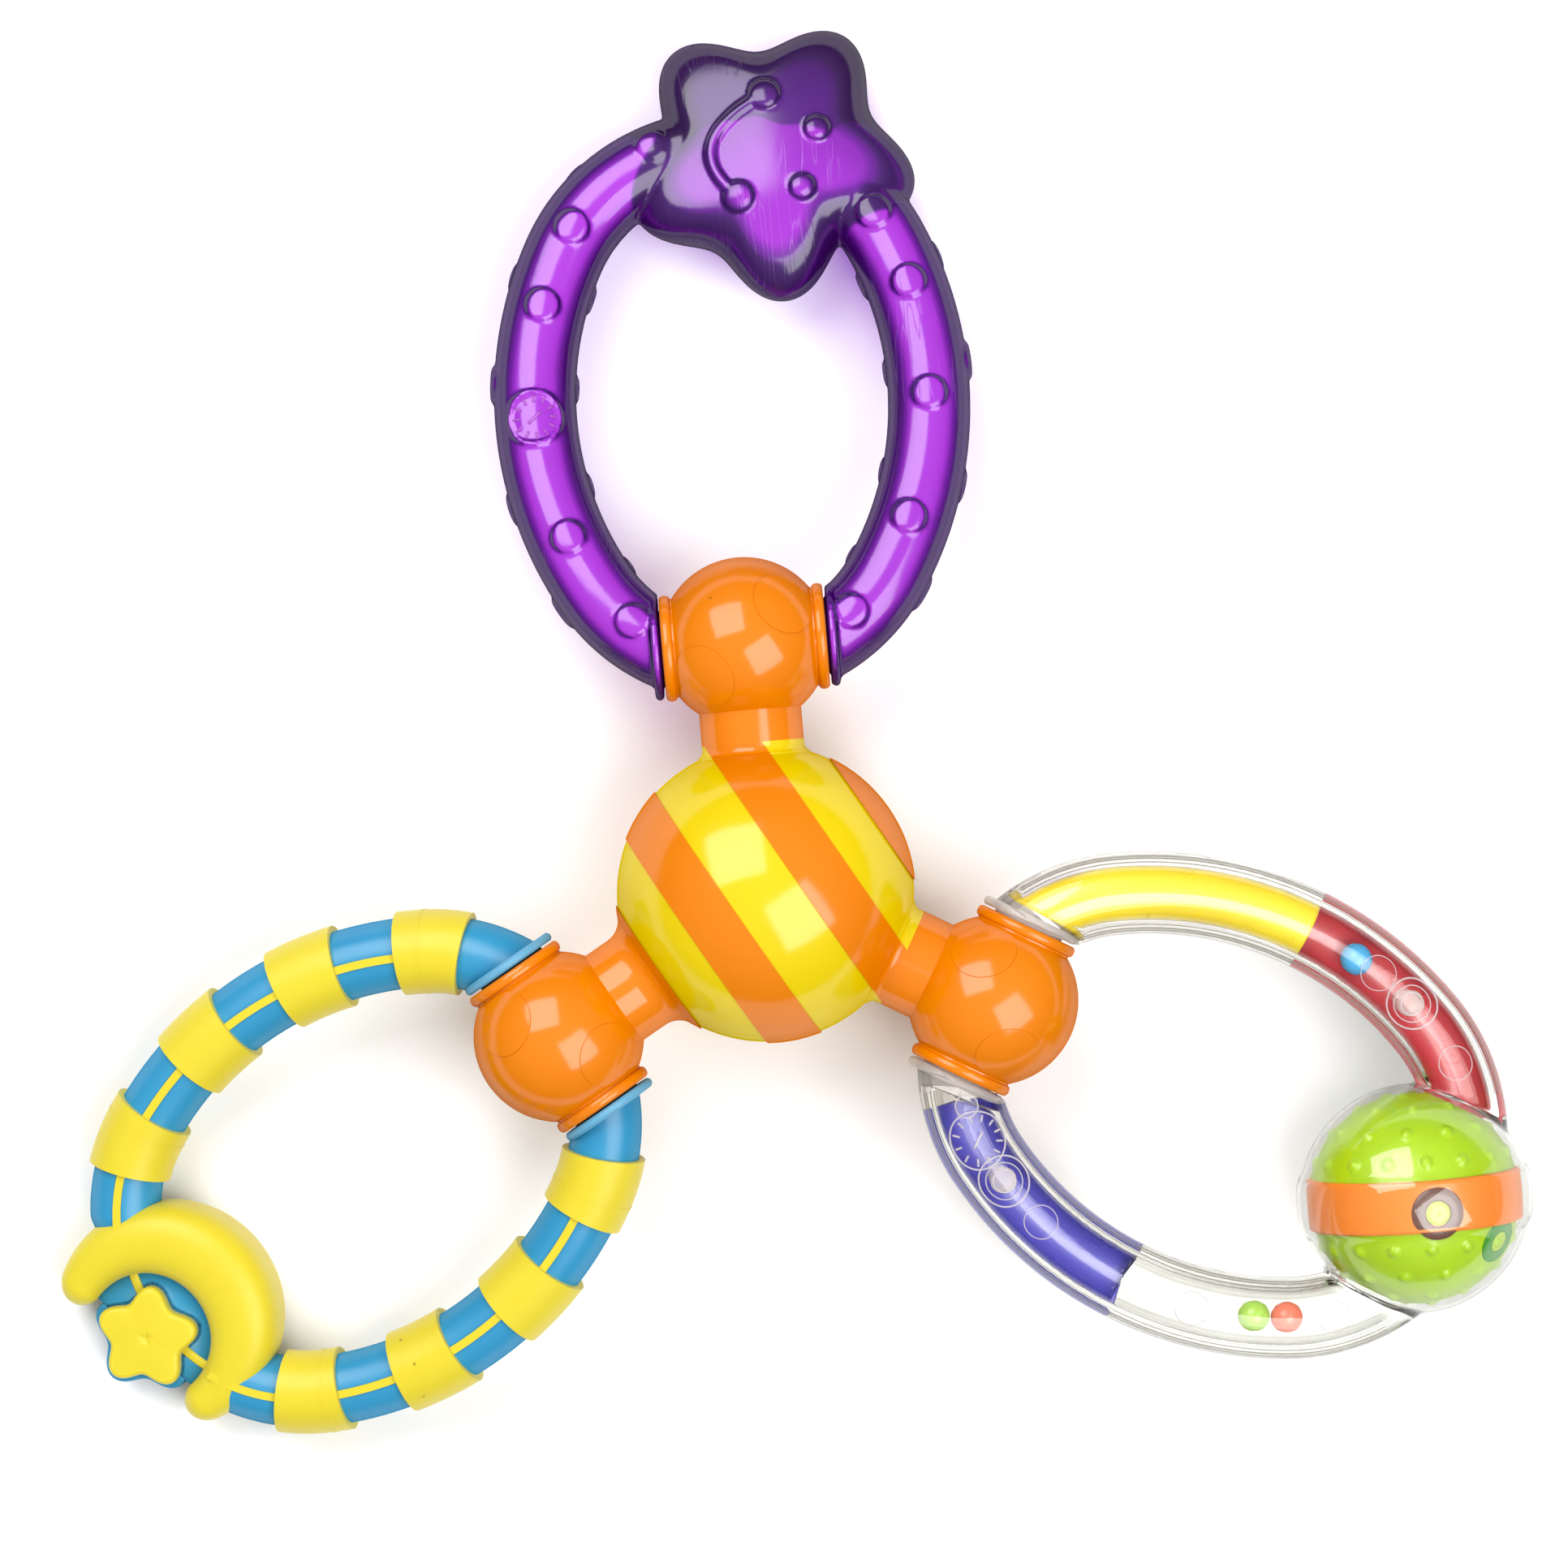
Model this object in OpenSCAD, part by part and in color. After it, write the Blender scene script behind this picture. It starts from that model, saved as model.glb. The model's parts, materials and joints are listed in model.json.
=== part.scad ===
// Baby rattle: a striped ball with three socket balls at 120 degrees. Each socket ball
// carries a loop on a hinge: a water-filled teether with a star, a soft banded ring with
// a crescent moon, and a clear ring with loose beads and a planet.
// The rattle lies on a table. The origin is on the table, under the striped ball.

/* [Striped ball and arms] */
// Diameter of the striped ball
hub_d = 37; // [32:0.5:46]
// Diameter of each socket ball
socket_d = 21; // [20:0.5:26]
// Diameter of the necks between the balls
neck_d = 12.6; // [10.4:0.2:15]
// Length of the necks in the gap between the balls
neck_len = 2; // [1:0.5:7]
// Fillet where the two plain necks leave the striped ball
neck_fillet = 1; // [0.6:0.1:2]
// Fillet where the neck grows out of the orange end cap
cap_fillet = 3; // [1:0.5:4]
// Wall of the hub shells
hub_wall = 1.8; // [1.5:0.1:2.4]

/* [Stripes] */
// Half width of the central yellow stripe
stripe_mid = 4.1; // [3:0.1:5]
// Distance from the centre plane to the start of an outer yellow stripe
stripe_in = 10.3; // [8.5:0.1:11]
// Distance from the centre plane to the end of an outer yellow stripe
stripe_out = 16; // [12:0.1:16]
// How far orange stands above yellow
stripe_step = 0.2; // [0.1:0.05:0.4]
// Depth of the grooves that the yellow stripes fill
stripe_depth = 1; // [0.7:0.1:1.2]

/* [Hinges] */
// Outer diameter of the hinge collars
collar_d = 12.2; // [11.6:0.1:14]
// Diameter of the hinge pins
pin_d = 9; // [8:0.1:9.4]
// Radial clearance of the pins in the collars
pin_gap = 0.06; // [0.03:0.01:0.1]
// Diameter of the retaining heads inside the socket balls
head_d = 11.2; // [10.4:0.1:11.4]
// Thickness of the retaining heads
head_t = 1.6; // [1.2:0.1:2]
// End play of a loop, on each side
end_gap = 0.25; // [0.15:0.05:0.4]
// Thickness of the flanges against the collars
flange_t = 1.1; // [0.8:0.1:1.6]
// Diameter of the flanges
flange_d = 12.6; // [12:0.1:15]

/* [Loops] */
// Distance from the hinge axis to the middle of the oval
loop_reach = 31.5; // [30:0.5:38]
// Half width of the oval's centreline, along the hinge axis
loop_half_w = 24.4; // [23.4:0.2:29]
// Radius of the end near the hub
near_r = 21; // [19:0.5:22]
// Distance from the oval's middle to the near end's centre
near_c = 13; // [12:0.5:17]
// Radius of the end far from the hub
far_r = 22.2; // [20:0.2:22.6]
// Distance from the oval's middle to the far end's centre
far_c = 9; // [8:0.5:16]

/* [Water teether] */
// Diameter of the teether's tube
teether_d = 10.2; // [9.6:0.2:11.4]
// Wall of the teether
teether_wall = 1.6; // [1.2:0.1:2]
// Tilt of the teether's oval against its hinge, in degrees
teether_lean = 1.8; // [0:0.2:3]
// Distance from the star's centre to its lobe tips
star_tip = 18.3; // [16:0.5:20]
// Distance from the star's centre to its valleys
star_valley = 13.8; // [12:0.2:15]
// Half thickness of the star at its centre
star_half_t = 6.6; // [6:0.1:8]
// Half thickness of the star at its lobe tips
star_rim = 2.8; // [2.4:0.1:4]

/* [Moon ring] */
// Diameter of the blue ring's tube
ring_d = 8.8; // [8:0.1:9.6]
// Diameter of the yellow bands on it
band_d = 10.4; // [9.8:0.1:11.4]
// Length of each band along the ring
band_len = 8; // [6:0.5:10]
// Spacing of the bands along the ring
band_pitch = 15.7; // [13:0.1:16]
// Outer radius of the crescent moon
moon_r = 14.3; // [12.5:0.1:16]
// Radius of the moon's hollow
hollow_r = 7.9; // [7:0.1:9]
// Half thickness of the moon at its thickest
moon_half_t = 5.8; // [5.6:0.1:7]
// Thickness of the star plate in the moon's hollow
plate_t = 3.4; // [2:0.1:4]
// Distance from the star button's centre to its tips
button_tip = 6.5; // [5.5:0.1:6.8]
// Height of the star button above its plate
button_h = 2; // [1:0.1:3]

/* [Bead ring] */
// Diameter of the clear ring's tube
clear_d = 10.2; // [9.6:0.2:11.4]
// Wall of the clear ring
clear_wall = 1.7; // [1.4:0.1:1.9]
// Diameter of the loose beads
bead_d = 4; // [3.4:0.1:4.4]
// Diameter of the pegs that stop the beads
peg_d = 3; // [2.4:0.1:3.4]
// Outer radius of the clear dome round the planet
dome_r = 14.2; // [13:0.2:15]
// Wall of the clear dome
dome_wall = 0.6; // [0.5:0.1:1]
// Width of the band round the planet
planet_band_w = 6.3; // [5:0.1:7]
// How far the band stands out of the planet
planet_band_h = 0.5; // [0.3:0.1:0.8]

/* [Hidden] */

$fn = 96;
far = 200; // larger than the rattle, for half spaces

// Striped ball, arms and hinges
hub_r = hub_d / 2;
hub_z = hub_r - stripe_step; // the ball rests on its yellow middle stripe
socket_r = socket_d / 2;
neck_r = neck_d / 2;
arm_reach = hub_r + neck_len + socket_r; // from the striped ball's centre to a socket ball's
teether_arm = 90;
moon_arm = 210;
clear_arm = 330;
stripe_dir = moon_arm - 180; // the stripes are square to the moon's arm
neck_line = hub_r + 0.1; // where plain orange starts on the two plain necks
neck_bore_r = neck_r - 2.1;
collar_face = socket_r - 0.4;
shoulder = collar_face - 2.9; // inner face of the collars, which holds the pin heads
head_pocket_r = head_d / 2 + 0.5;
fillet_bite = 0.04; // lets a fillet cut into the ball instead of touching it
pad_r = 4; // round pads on the socket balls
pad_h = 0.15;
pads = [[4.4, -5.4, 7.9], [-4.1, 5.4, 8.0]]; // directions of the front pads' middles
flange_in = collar_face + end_gap;
flange_out = flange_in + flange_t;

// The oval is four arcs: a near end, a far end, and two flatter sides that touch both.
near_rise = loop_half_w - near_r;
far_rise = loop_half_w - far_r;
rise_ratio = far_rise / near_rise;
side_b = far_c + rise_ratio * near_c;
side_q = far_c * far_c - rise_ratio * near_c * near_c + rise_ratio * near_rise * near_rise
    - far_rise * far_rise;
side_x = side_q / (side_b + sqrt(side_b * side_b - (1 - rise_ratio) * side_q));
side_c = (pow(side_x + near_c, 2) - near_rise * near_rise) / (2 * near_rise);
side_r = side_c + loop_half_w;
far_turn = atan2(side_c, far_c - side_x); // where the far end meets a side
near_turn = 180 - atan2(side_c, side_x + near_c); // where a side meets the near end
near_stop = 158; // the near arcs run on past the flanges, which trim them
deg = 180 / PI;
far_len = far_r * far_turn / deg;
side_len = side_r * (near_turn - far_turn) / deg;
near_len = near_r * (near_stop - near_turn) / deg;
all_len = far_len + side_len + near_len;
loop_end = loop_reach + far_c + far_r;
seam_w = 0.4; // width and height of the low seams where the arcs meet
seam_h = 0.05;

// Teether
teether_r = teether_d / 2;
star_at = [loop_end - 1.5, -6.3]; // in the teether's own leaning frame
star_turn = 3; // the lobe that points back to the hub, against the oval
star_lens_r = (star_tip * star_tip + pow(star_half_t - star_rim, 2))
    / (2 * (star_half_t - star_rim));
teether_droop = atan2(star_lens_r - star_half_t, star_at[0])
    - asin((star_lens_r - hub_z) / norm([star_at[0], star_lens_r - star_half_t]));
water_level = 2.8; // the bubble's edge, beyond the star's centre
water_gap = 0.05;

// Moon ring
ring_r = ring_d / 2;
band_r = band_d / 2;
hollow_at = [loop_end + 2.1, 1.6];
moon_open = 12.7; // direction in which the moon opens
moon_shift = 3.4; // from the hollow's centre to the outer circle's centre
moon_at = hollow_at - moon_shift * [cos(moon_open), sin(moon_open)];
horn_r = 2.7;
horn_turns = [-83.4, 83.3]; // horn tips, counted from the opening's direction
horn_c = hollow_r + horn_r;
moon_lens_r = 70;
moon_lens_at = hollow_at - 10 * [cos(moon_open), sin(moon_open)];
rib_stop = 12; // where the ribs inside the moon meet the plate, in the same way
ring_stop = 26; // where the blue tube ends inside the moon, in degrees of the end arc
plate_rim = 0.9; // the plate shows round the star button
plate_tuck = 1.2; // the plate reaches into the moon
button_valley = button_tip - 1.8;
horn_low = horn_at(horn_turns[0]) + [0, horn_r]; // where the moon meets the table
horn_low_z = moon_half_t - moon_lens_r
    + sqrt(pow(moon_lens_r, 2) - pow(norm(horn_low - moon_lens_at), 2));
moon_droop = asin(hub_z / norm([horn_low[0], horn_low_z])) - atan2(horn_low_z, horn_low[0]);
band_first = far_len - 1.9; // middle of the band nearest the moon, along the centreline
runner_w = 1;
runner_rise = 0.15;
runner_sink = 0.5;

// Bead ring
clear_r = clear_d / 2;
channel_r = clear_r - clear_wall;
planet_at = [loop_end - 4.8, 0];
cavity_r = dome_r - dome_wall;
planet_r = cavity_r - planet_band_h - 0.1;
planet_wall = 1.5;
dome_start = 7; // the ring's two sides start inside the dome
planet_cut = planet_r - 0.6; // flats of the planet where the channels reach it
planet_band_turn = 29.2; // the band's plane against the arm
clear_droop = asin((hub_z - dome_r) / planet_at[0]);
liner_t = 0.3;
liner_gap = 0.05;
bead_r = bead_d / 2;
bead_drop = channel_r - liner_gap - liner_t - bead_r - 0.05;
peg_r = peg_d / 2;
bead_gap = 0.1;
// Places along a side arc, from the middle of the oval, positive away from the hub
red_peg_x = 15;
violet_peg_x = -21.3;
blue_bead_x = 7.2;
green_bead_x = 14.6;
yellow_end_x = 0;
violet_end_x = -2.5;
bead_pitch_turn = (bead_d + bead_gap) / side_r * deg;

orange = [1.0, 0.5, 0.0];
hub_yellow = [1.0, 0.86, 0.0];
purple = [0.55, 0.1, 0.75, 0.7];
water_purple = [0.7, 0.2, 0.85, 0.6];
blue = [0.2, 0.62, 0.83];
soft_yellow = [0.96, 0.86, 0.15];
clear = [0.9, 0.93, 0.93, 0.35];

// ---------- frames and half spaces ----------

// Places children at the striped ball's centre, with +X along one arm
module on_arm(angle) {
    translate([0, 0, hub_z]) rotate([0, 0, angle]) children();
}

// Places children in a loop's own frame: the hinge axis is Y, the far end is +X
module on_loop(angle, droop) {
    on_arm(angle) translate([arm_reach, 0, 0]) rotate([0, droop, 0]) children();
}

module above(z = 0) {
    translate([-far, -far, z]) cube([2 * far, 2 * far, far]);
}

module below(z = 0) {
    translate([-far, -far, z - far]) cube([2 * far, 2 * far, far]);
}

// Everything between two planes square to Y
module between_y(y0, y1) {
    translate([-far, y0, -far]) cube([2 * far, y1 - y0, 2 * far]);
}

// A cylinder along Y
module rod_y(r, y0, y1) {
    translate([0, y0, 0]) rotate([-90, 0, 0]) cylinder(r = r, h = y1 - y0);
}

// A cylinder along X
module rod_x(r, x0, x1) {
    translate([x0, 0, 0]) rotate([0, 90, 0]) cylinder(r = r, h = x1 - x0);
}

// ---------- striped ball and arms ----------

// A neck with a fillet at its foot, turned about X
module neck(fillet) {
    fillet_x = sqrt(pow(hub_r + fillet, 2) - pow(neck_r + fillet, 2)) - fillet_bite;
    foot_r = (neck_r + fillet) * hub_r / (hub_r + fillet);
    rotate([0, 90, 0]) rotate_extrude() {
        difference() {
            square([foot_r, fillet_x]);
            translate([neck_r + fillet, fillet_x]) circle(r = fillet);
        }
        square([neck_r, arm_reach]);
    }
}

// A slightly raised round pad on a socket ball
module pad(p) {
    intersection() {
        sphere(r = socket_r + pad_h);
        rotate([0, acos(p[2] / norm(p)), atan2(p[1], p[0])]) cylinder(r = pad_r, h = socket_r + 1);
    }
}

// The outside of one arm: neck, socket ball, collars and pads
module arm_outside(fillet) {
    neck(fillet);
    translate([arm_reach, 0, 0]) {
        sphere(r = socket_r);
        rod_y(collar_d / 2, -collar_face, collar_face);
        for (p = pads) {
            pad(p);
            mirror([0, 0, 1]) pad(p);
        }
    }
}

// The inside of one arm: neck bore, room for the pin heads, and the hinge bore
module arm_inside() {
    rod_x(neck_bore_r, 0, arm_reach);
    translate([arm_reach, 0, 0]) {
        intersection() {
            sphere(r = socket_r - hub_wall);
            between_y(-shoulder + 0.6, shoulder - 0.6);
        }
        rod_y(head_pocket_r, -shoulder, shoulder);
        rod_y(pin_d / 2 + pin_gap, -collar_face - 1, collar_face + 1);
    }
}

// The whole hollow hub, with its central ball cut back by drop
module hub_solid(drop = 0) {
    difference() {
        union() {
            sphere(r = hub_r - drop);
            rotate([0, 0, teether_arm]) arm_outside(neck_fillet);
            rotate([0, 0, moon_arm]) arm_outside(cap_fillet);
            rotate([0, 0, clear_arm]) arm_outside(neck_fillet);
        }
        sphere(r = hub_r - hub_wall);
        for (a = [teether_arm, moon_arm, clear_arm]) rotate([0, 0, a]) arm_inside();
    }
}

// The space of one yellow stripe: a slab through the ball's skin, short of the two necks
module stripe_space(n0, n1) {
    difference() {
        translate([0, 0, -far / 2]) linear_extrude(far) intersection() {
            rotate(stripe_dir) translate([n0, -far / 2]) square([n1 - n0, far]);
            rotate(teether_arm) translate([neck_line - far, -far / 2]) square(far);
            rotate(clear_arm) translate([neck_line - far, -far / 2]) square(far);
        }
        sphere(r = hub_r - stripe_depth);
    }
}

module stripe_spaces() {
    stripe_space(stripe_in, stripe_out);
    stripe_space(-stripe_mid, stripe_mid);
    stripe_space(-stripe_out, -stripe_in);
}

module hub_front_shell() {
    color(orange) translate([0, 0, hub_z]) difference() {
        hub_solid();
        stripe_spaces();
        below();
    }
}

module hub_back_shell() {
    color(orange) translate([0, 0, hub_z]) difference() {
        hub_solid();
        stripe_spaces();
        above();
    }
}

module stripe_front(n0, n1) {
    color(hub_yellow) translate([0, 0, hub_z]) intersection() {
        hub_solid(stripe_step);
        stripe_space(n0, n1);
        above();
    }
}

module stripe_back(n0, n1) {
    color(hub_yellow) translate([0, 0, hub_z]) intersection() {
        hub_solid(stripe_step);
        stripe_space(n0, n1);
        below();
    }
}

module upper_stripe_front() { stripe_front(stripe_in, stripe_out); }
module middle_stripe_front() { stripe_front(-stripe_mid, stripe_mid); }
module lower_stripe_front() { stripe_front(-stripe_out, -stripe_in); }
module upper_stripe_back() { stripe_back(stripe_in, stripe_out); }
module middle_stripe_back() { stripe_back(-stripe_mid, stripe_mid); }
module lower_stripe_back() { stripe_back(-stripe_out, -stripe_in); }

// ---------- oval loops ----------

// Sweeps a 2D section, drawn round the centreline, along one arc
module arc_run(centre, r, from, to) {
    translate([centre[0], centre[1], 0]) rotate([0, 0, from])
        rotate_extrude(angle = to - from) translate([r, 0]) children();
}

// Sweeps a section along the +Y half of the oval from s0 to s1, both counted from the
// oval's far end
module oval_run(s0, s1) {
    joint = seam_w / 4; // the arcs stop short of each other, inside the seam
    s2 = far_len + side_len;
    if (s0 < far_len) {
        arc_run([loop_reach + far_c, 0], far_r, s0 / far_r * deg,
            min(s1, far_len - joint) / far_r * deg) children();
    }
    if (s0 < s2 && s1 > far_len) {
        arc_run([loop_reach + side_x, -side_c], side_r,
            far_turn + (max(s0, far_len + joint) - far_len) / side_r * deg,
            far_turn + (min(s1, s2 - joint) - far_len) / side_r * deg) children();
    }
    if (s1 > s2) {
        arc_run([loop_reach - near_c, 0], near_r,
            near_turn + (max(s0, s2 + joint) - s2) / near_r * deg,
            near_turn + (s1 - s2) / near_r * deg) children();
    }
}

// A low seam round the tube where a side meets an end
module seam(r, a) {
    translate([loop_reach + side_x, -side_c, 0]) rotate([0, 0, a]) translate([side_r, 0, 0])
        rotate([90, 0, 0]) cylinder(r = r + seam_h, h = seam_w, center = true);
}

// A round tube along the +Y half of the oval
module round_run(r, s0, s1) {
    oval_run(s0, s1) circle(r = r);
    if (s0 < far_len && s1 > far_len) seam(r, far_turn);
    if (s0 < far_len + side_len && s1 > far_len + side_len) seam(r, near_turn);
}

module both_sides() {
    children();
    mirror([0, 1, 0]) children();
}

// A tube along the oval from s0 on, ending in the planes y = stop and y = -stop
module oval_tube(r, s0, stop) {
    both_sides() intersection() {
        round_run(r, s0, all_len);
        union() {
            between_y(stop, far);
            translate([loop_reach - near_c, -far, -far]) cube(2 * far);
        }
    }
}

// Flanges, hinge pins and their retaining heads
module hinge_ends() {
    both_sides() {
        rod_y(flange_d / 2, flange_in, flange_out);
        rod_y(pin_d / 2, shoulder - end_gap - head_t, flange_in);
        rod_y(head_d / 2, shoulder - end_gap - head_t, shoulder - end_gap);
    }
}

// A wavy five-lobed star
module star_outline(tip, valley) {
    mean = (tip + valley) / 2;
    swing = (tip - valley) / 2;
    polygon([for (a = [0:4:356]) (mean + swing * cos(5 * a)) * [cos(a), sin(a)]]);
}

// ---------- water teether ----------

module in_teether() {
    on_loop(teether_arm, teether_droop) children();
}

// The star with both faces crowned, made smaller all round by inset
module star_body(inset) {
    lens_c = star_lens_r - star_half_t;
    translate([star_at[0], star_at[1], 0]) intersection() {
        rotate([0, 0, 180 + star_turn]) translate([0, 0, -star_half_t])
            linear_extrude(2 * star_half_t) star_outline(star_tip - inset, star_valley - inset);
        translate([0, 0, -lens_c]) sphere(r = star_lens_r - inset, $fn = 192);
        translate([0, 0, lens_c]) sphere(r = star_lens_r - inset, $fn = 192);
    }
}

module teether_body(r, inset, stop) {
    rotate([0, 0, -teether_lean]) star_body(inset);
    intersection() {
        rotate([0, 0, -teether_lean]) both_sides()
            round_run(r, 0, all_len);
        union() {
            between_y(stop, far);
            between_y(-far, -stop);
            translate([loop_reach - near_c, -far, -far]) cube(2 * far);
        }
    }
}

module teether_shell() {
    color(purple) in_teether() {
        difference() {
            union() {
                teether_body(teether_r, 0, flange_in);
                hinge_ends();
            }
            teether_body(teether_r - teether_wall, teether_wall, flange_out + teether_wall);
        }
    }
}

module teether_water() {
    inset = teether_wall + water_gap;
    color(water_purple) in_teether() intersection() {
        teether_body(teether_r - inset, inset, flange_out + inset);
        translate([star_at[0] + water_level - 2 * far, -far, -far]) cube(2 * far);
    }
}

// ---------- moon ring ----------

module in_moon_ring() {
    on_loop(moon_arm, moon_droop) children();
}

// The section of the runner line on top of the tube
module runner_section() {
    translate([-runner_w / 2, ring_r - runner_sink]) square([runner_w, runner_sink + runner_rise]);
}

module button_outline(rim) {
    rotate([0, 0, moon_open]) star_outline(button_tip + rim, button_valley + rim);
}

// The star plate: a star outline that runs into the moon's hollow
module plate() {
    translate([hollow_at[0], hollow_at[1], -plate_t / 2]) linear_extrude(plate_t) {
        button_outline(plate_rim);
        difference() {
            circle(r = hollow_r + plate_tuck);
            rotate([0, 0, moon_open]) translate([1.5, -far]) square(2 * far);
        }
    }
}

module runner_grooves() {
    both_sides() oval_run(far_r * ring_stop / deg, all_len)
        runner_section();
}

// The blue tube, the plate, and the thin ribs inside the moon that join them
module ring_core() {
    oval_tube(ring_r, far_r * ring_stop / deg, flange_in);
    both_sides() round_run(plate_t / 2 - 0.1, far_r * rib_stop / deg, far_r * (ring_stop + 3) / deg);
    plate();
}

module moon_ring() {
    color(blue) in_moon_ring() {
        difference() {
            ring_core();
            intersection() {
                runner_grooves();
                between_runner_ends();
            }
        }
        hinge_ends();
    }
}

// The stretch of each side that has a runner line
module between_runner_ends() {
    both_sides() oval_run(runner_from, runner_to) translate([-ring_r, -far / 2])
        square([2 * ring_r, far]);
}

runner_from = far_r * ring_stop / deg;
runner_to = band_first + 3 * band_pitch;

// Points of an arc from angle a0 to angle a1
function arc_points(at, r, a0, a1, steps) =
    [for (i = [0:steps]) at + r * [cos(a0 + (a1 - a0) * i / steps), sin(a0 + (a1 - a0) * i / steps)]];

// A horn tip's centre; its arc starts on the outside and ends in the hollow
function horn_at(t) = hollow_at + horn_c * [cos(moon_open + t), sin(moon_open + t)];

module crescent() {
    low = moon_open + horn_turns[0];
    high = moon_open + horn_turns[1];
    out_low = atan2(horn_at(horn_turns[0])[1] - moon_at[1], horn_at(horn_turns[0])[0] - moon_at[0]);
    out_high = atan2(horn_at(horn_turns[1])[1] - moon_at[1], horn_at(horn_turns[1])[0] - moon_at[0]);
    polygon(concat(
        arc_points(moon_at, moon_r, out_high + 12, out_low + 348, 40),
        arc_points(horn_at(horn_turns[0]), horn_r, low + 10, low + 170, 10),
        arc_points(hollow_at, hollow_r, low + 354, high + 6, 40),
        arc_points(horn_at(horn_turns[1]), horn_r, high - 170, high - 10, 10)
    ));
}

module moon() {
    lens_c = moon_lens_r - moon_half_t;
    color(soft_yellow) in_moon_ring() difference() {
        intersection() {
            translate([0, 0, -moon_half_t]) linear_extrude(2 * moon_half_t) crescent();
            translate([moon_lens_at[0], moon_lens_at[1], -lens_c]) sphere(r = moon_lens_r, $fn = 192);
            translate([moon_lens_at[0], moon_lens_at[1], lens_c]) sphere(r = moon_lens_r, $fn = 192);
        }
        ring_core();
        runner_grooves();
    }
}

module star_button() {
    color(soft_yellow) in_moon_ring()
        translate([hollow_at[0], hollow_at[1], plate_t / 2]) linear_extrude(button_h) button_outline(0);
}

// Band number n, from the moon towards the hub, on the +Y side
module band(n) {
    middle = band_first + (n - 1) * band_pitch;
    difference() {
        round_run(band_r, middle - band_len / 2, middle + band_len / 2);
        round_run(ring_r, middle - band_len, middle + band_len);
    }
}

module band_left(n) {
    color(soft_yellow) in_moon_ring() difference() {
        band(n);
        runner_grooves();
    }
}

module band_right(n) {
    color(soft_yellow) in_moon_ring() mirror([0, 1, 0]) difference() {
        band(n);
        runner_grooves();
    }
}

module band_left_1() { band_left(1); }
module band_left_2() { band_left(2); }
module band_left_3() { band_left(3); }
module band_left_4() { band_left(4); }
module band_right_1() { band_right(1); }
module band_right_2() { band_right(2); }
module band_right_3() { band_right(3); }
module band_right_4() { band_right(4); }

module runner_left() {
    color(soft_yellow) in_moon_ring() oval_run(runner_from, runner_to) runner_section();
}

module runner_right() {
    color(soft_yellow) in_moon_ring() mirror([0, 1, 0]) oval_run(runner_from, runner_to) runner_section();
}

// ---------- bead ring ----------

module in_clear_ring() {
    on_loop(clear_arm, clear_droop) children();
}

// A point on a side arc's centreline; side is 1 for +Y and -1 for -Y
function side_point(a, side) =
    [loop_reach + side_x + side_r * sin(a), side * (side_r * cos(a) - side_c)];

// The angle on a side arc, from square to the arm, of a point x beyond the oval's middle
function side_turn(x) = asin((x - side_x) / side_r);

// Length along the oval of a point on a side arc
function side_s(a) = far_len + (90 - a - far_turn) * side_r / deg;

// The slab of the planet's band
module band_slab(w) {
    translate([planet_at[0], planet_at[1], 0]) rotate([0, 0, planet_band_turn]) between_y(-w / 2, w / 2);
}

module planet_ball(r) {
    translate([planet_at[0], planet_at[1], 0]) sphere(r = r);
}

module clear_outside() {
    oval_tube(clear_r, dome_start, flange_in);
    planet_ball(dome_r);
    hinge_ends();
}

module clear_inside() {
    oval_tube(channel_r, dome_start, flange_out + 0.8);
    planet_ball(cavity_r);
}

module pegs(r) {
    for (p = [side_point(side_turn(red_peg_x), 1), side_point(side_turn(violet_peg_x), -1)]) {
        translate([p[0], p[1], -clear_r + 1]) cylinder(r = r, h = 2 * clear_r - 2);
    }
}

module clear_shell() {
    difference() {
        clear_outside();
        clear_inside();
    }
    pegs(peg_r);
}

module clear_front_shell() {
    color(clear) in_clear_ring() intersection() {
        clear_shell();
        above();
    }
}

module clear_back_shell() {
    color(clear) in_clear_ring() intersection() {
        clear_shell();
        below();
    }
}

module yellow_tube() {
    color(soft_yellow) in_clear_ring() intersection() {
        difference() {
            round_run(channel_r - liner_gap, side_s(side_turn(yellow_end_x)), all_len);
            round_run(channel_r - liner_gap - 1, side_s(side_turn(yellow_end_x)) - 1, all_len + 1);
        }
        between_y(flange_out + 0.9, far);
    }
}

// A thin lining of the channel's back half
module liner(s0, s1, y0) {
    intersection() {
        difference() {
            round_run(channel_r - liner_gap, s0, s1);
            round_run(channel_r - liner_gap - liner_t, s0 - 1, s1 + 1);
        }
        below(-0.05);
        between_y(y0, far);
    }
}

module red_liner() {
    color([0.8, 0.2, 0.25, 0.7]) in_clear_ring() difference() {
        liner(dome_start, side_s(side_turn(yellow_end_x)) - 0.1, planet_cut + 0.1);
        pegs(peg_r + 0.15);
        planet_ball(planet_r);
    }
}

module violet_liner() {
    color([0.35, 0.3, 0.75, 0.7]) in_clear_ring() difference() {
        mirror([0, 1, 0]) liner(side_s(side_turn(violet_end_x)), all_len, flange_out + 0.9);
        pegs(peg_r + 0.15);
    }
}

module planet_shell() {
    intersection() {
        difference() {
            planet_ball(planet_r);
            planet_ball(planet_r - planet_wall);
        }
        between_y(-planet_cut, planet_cut);
    }
}

module planet_front() {
    color([0.66, 0.8, 0.05]) in_clear_ring() intersection() {
        planet_shell();
        above();
    }
}

module planet_back() {
    color([0.66, 0.8, 0.05]) in_clear_ring() intersection() {
        planet_shell();
        below();
    }
}

module planet_band() {
    color([0.95, 0.5, 0.05]) in_clear_ring() intersection() {
        difference() {
            planet_ball(planet_r + planet_band_h);
            planet_ball(planet_r);
        }
        band_slab(planet_band_w);
    }
}

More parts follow.
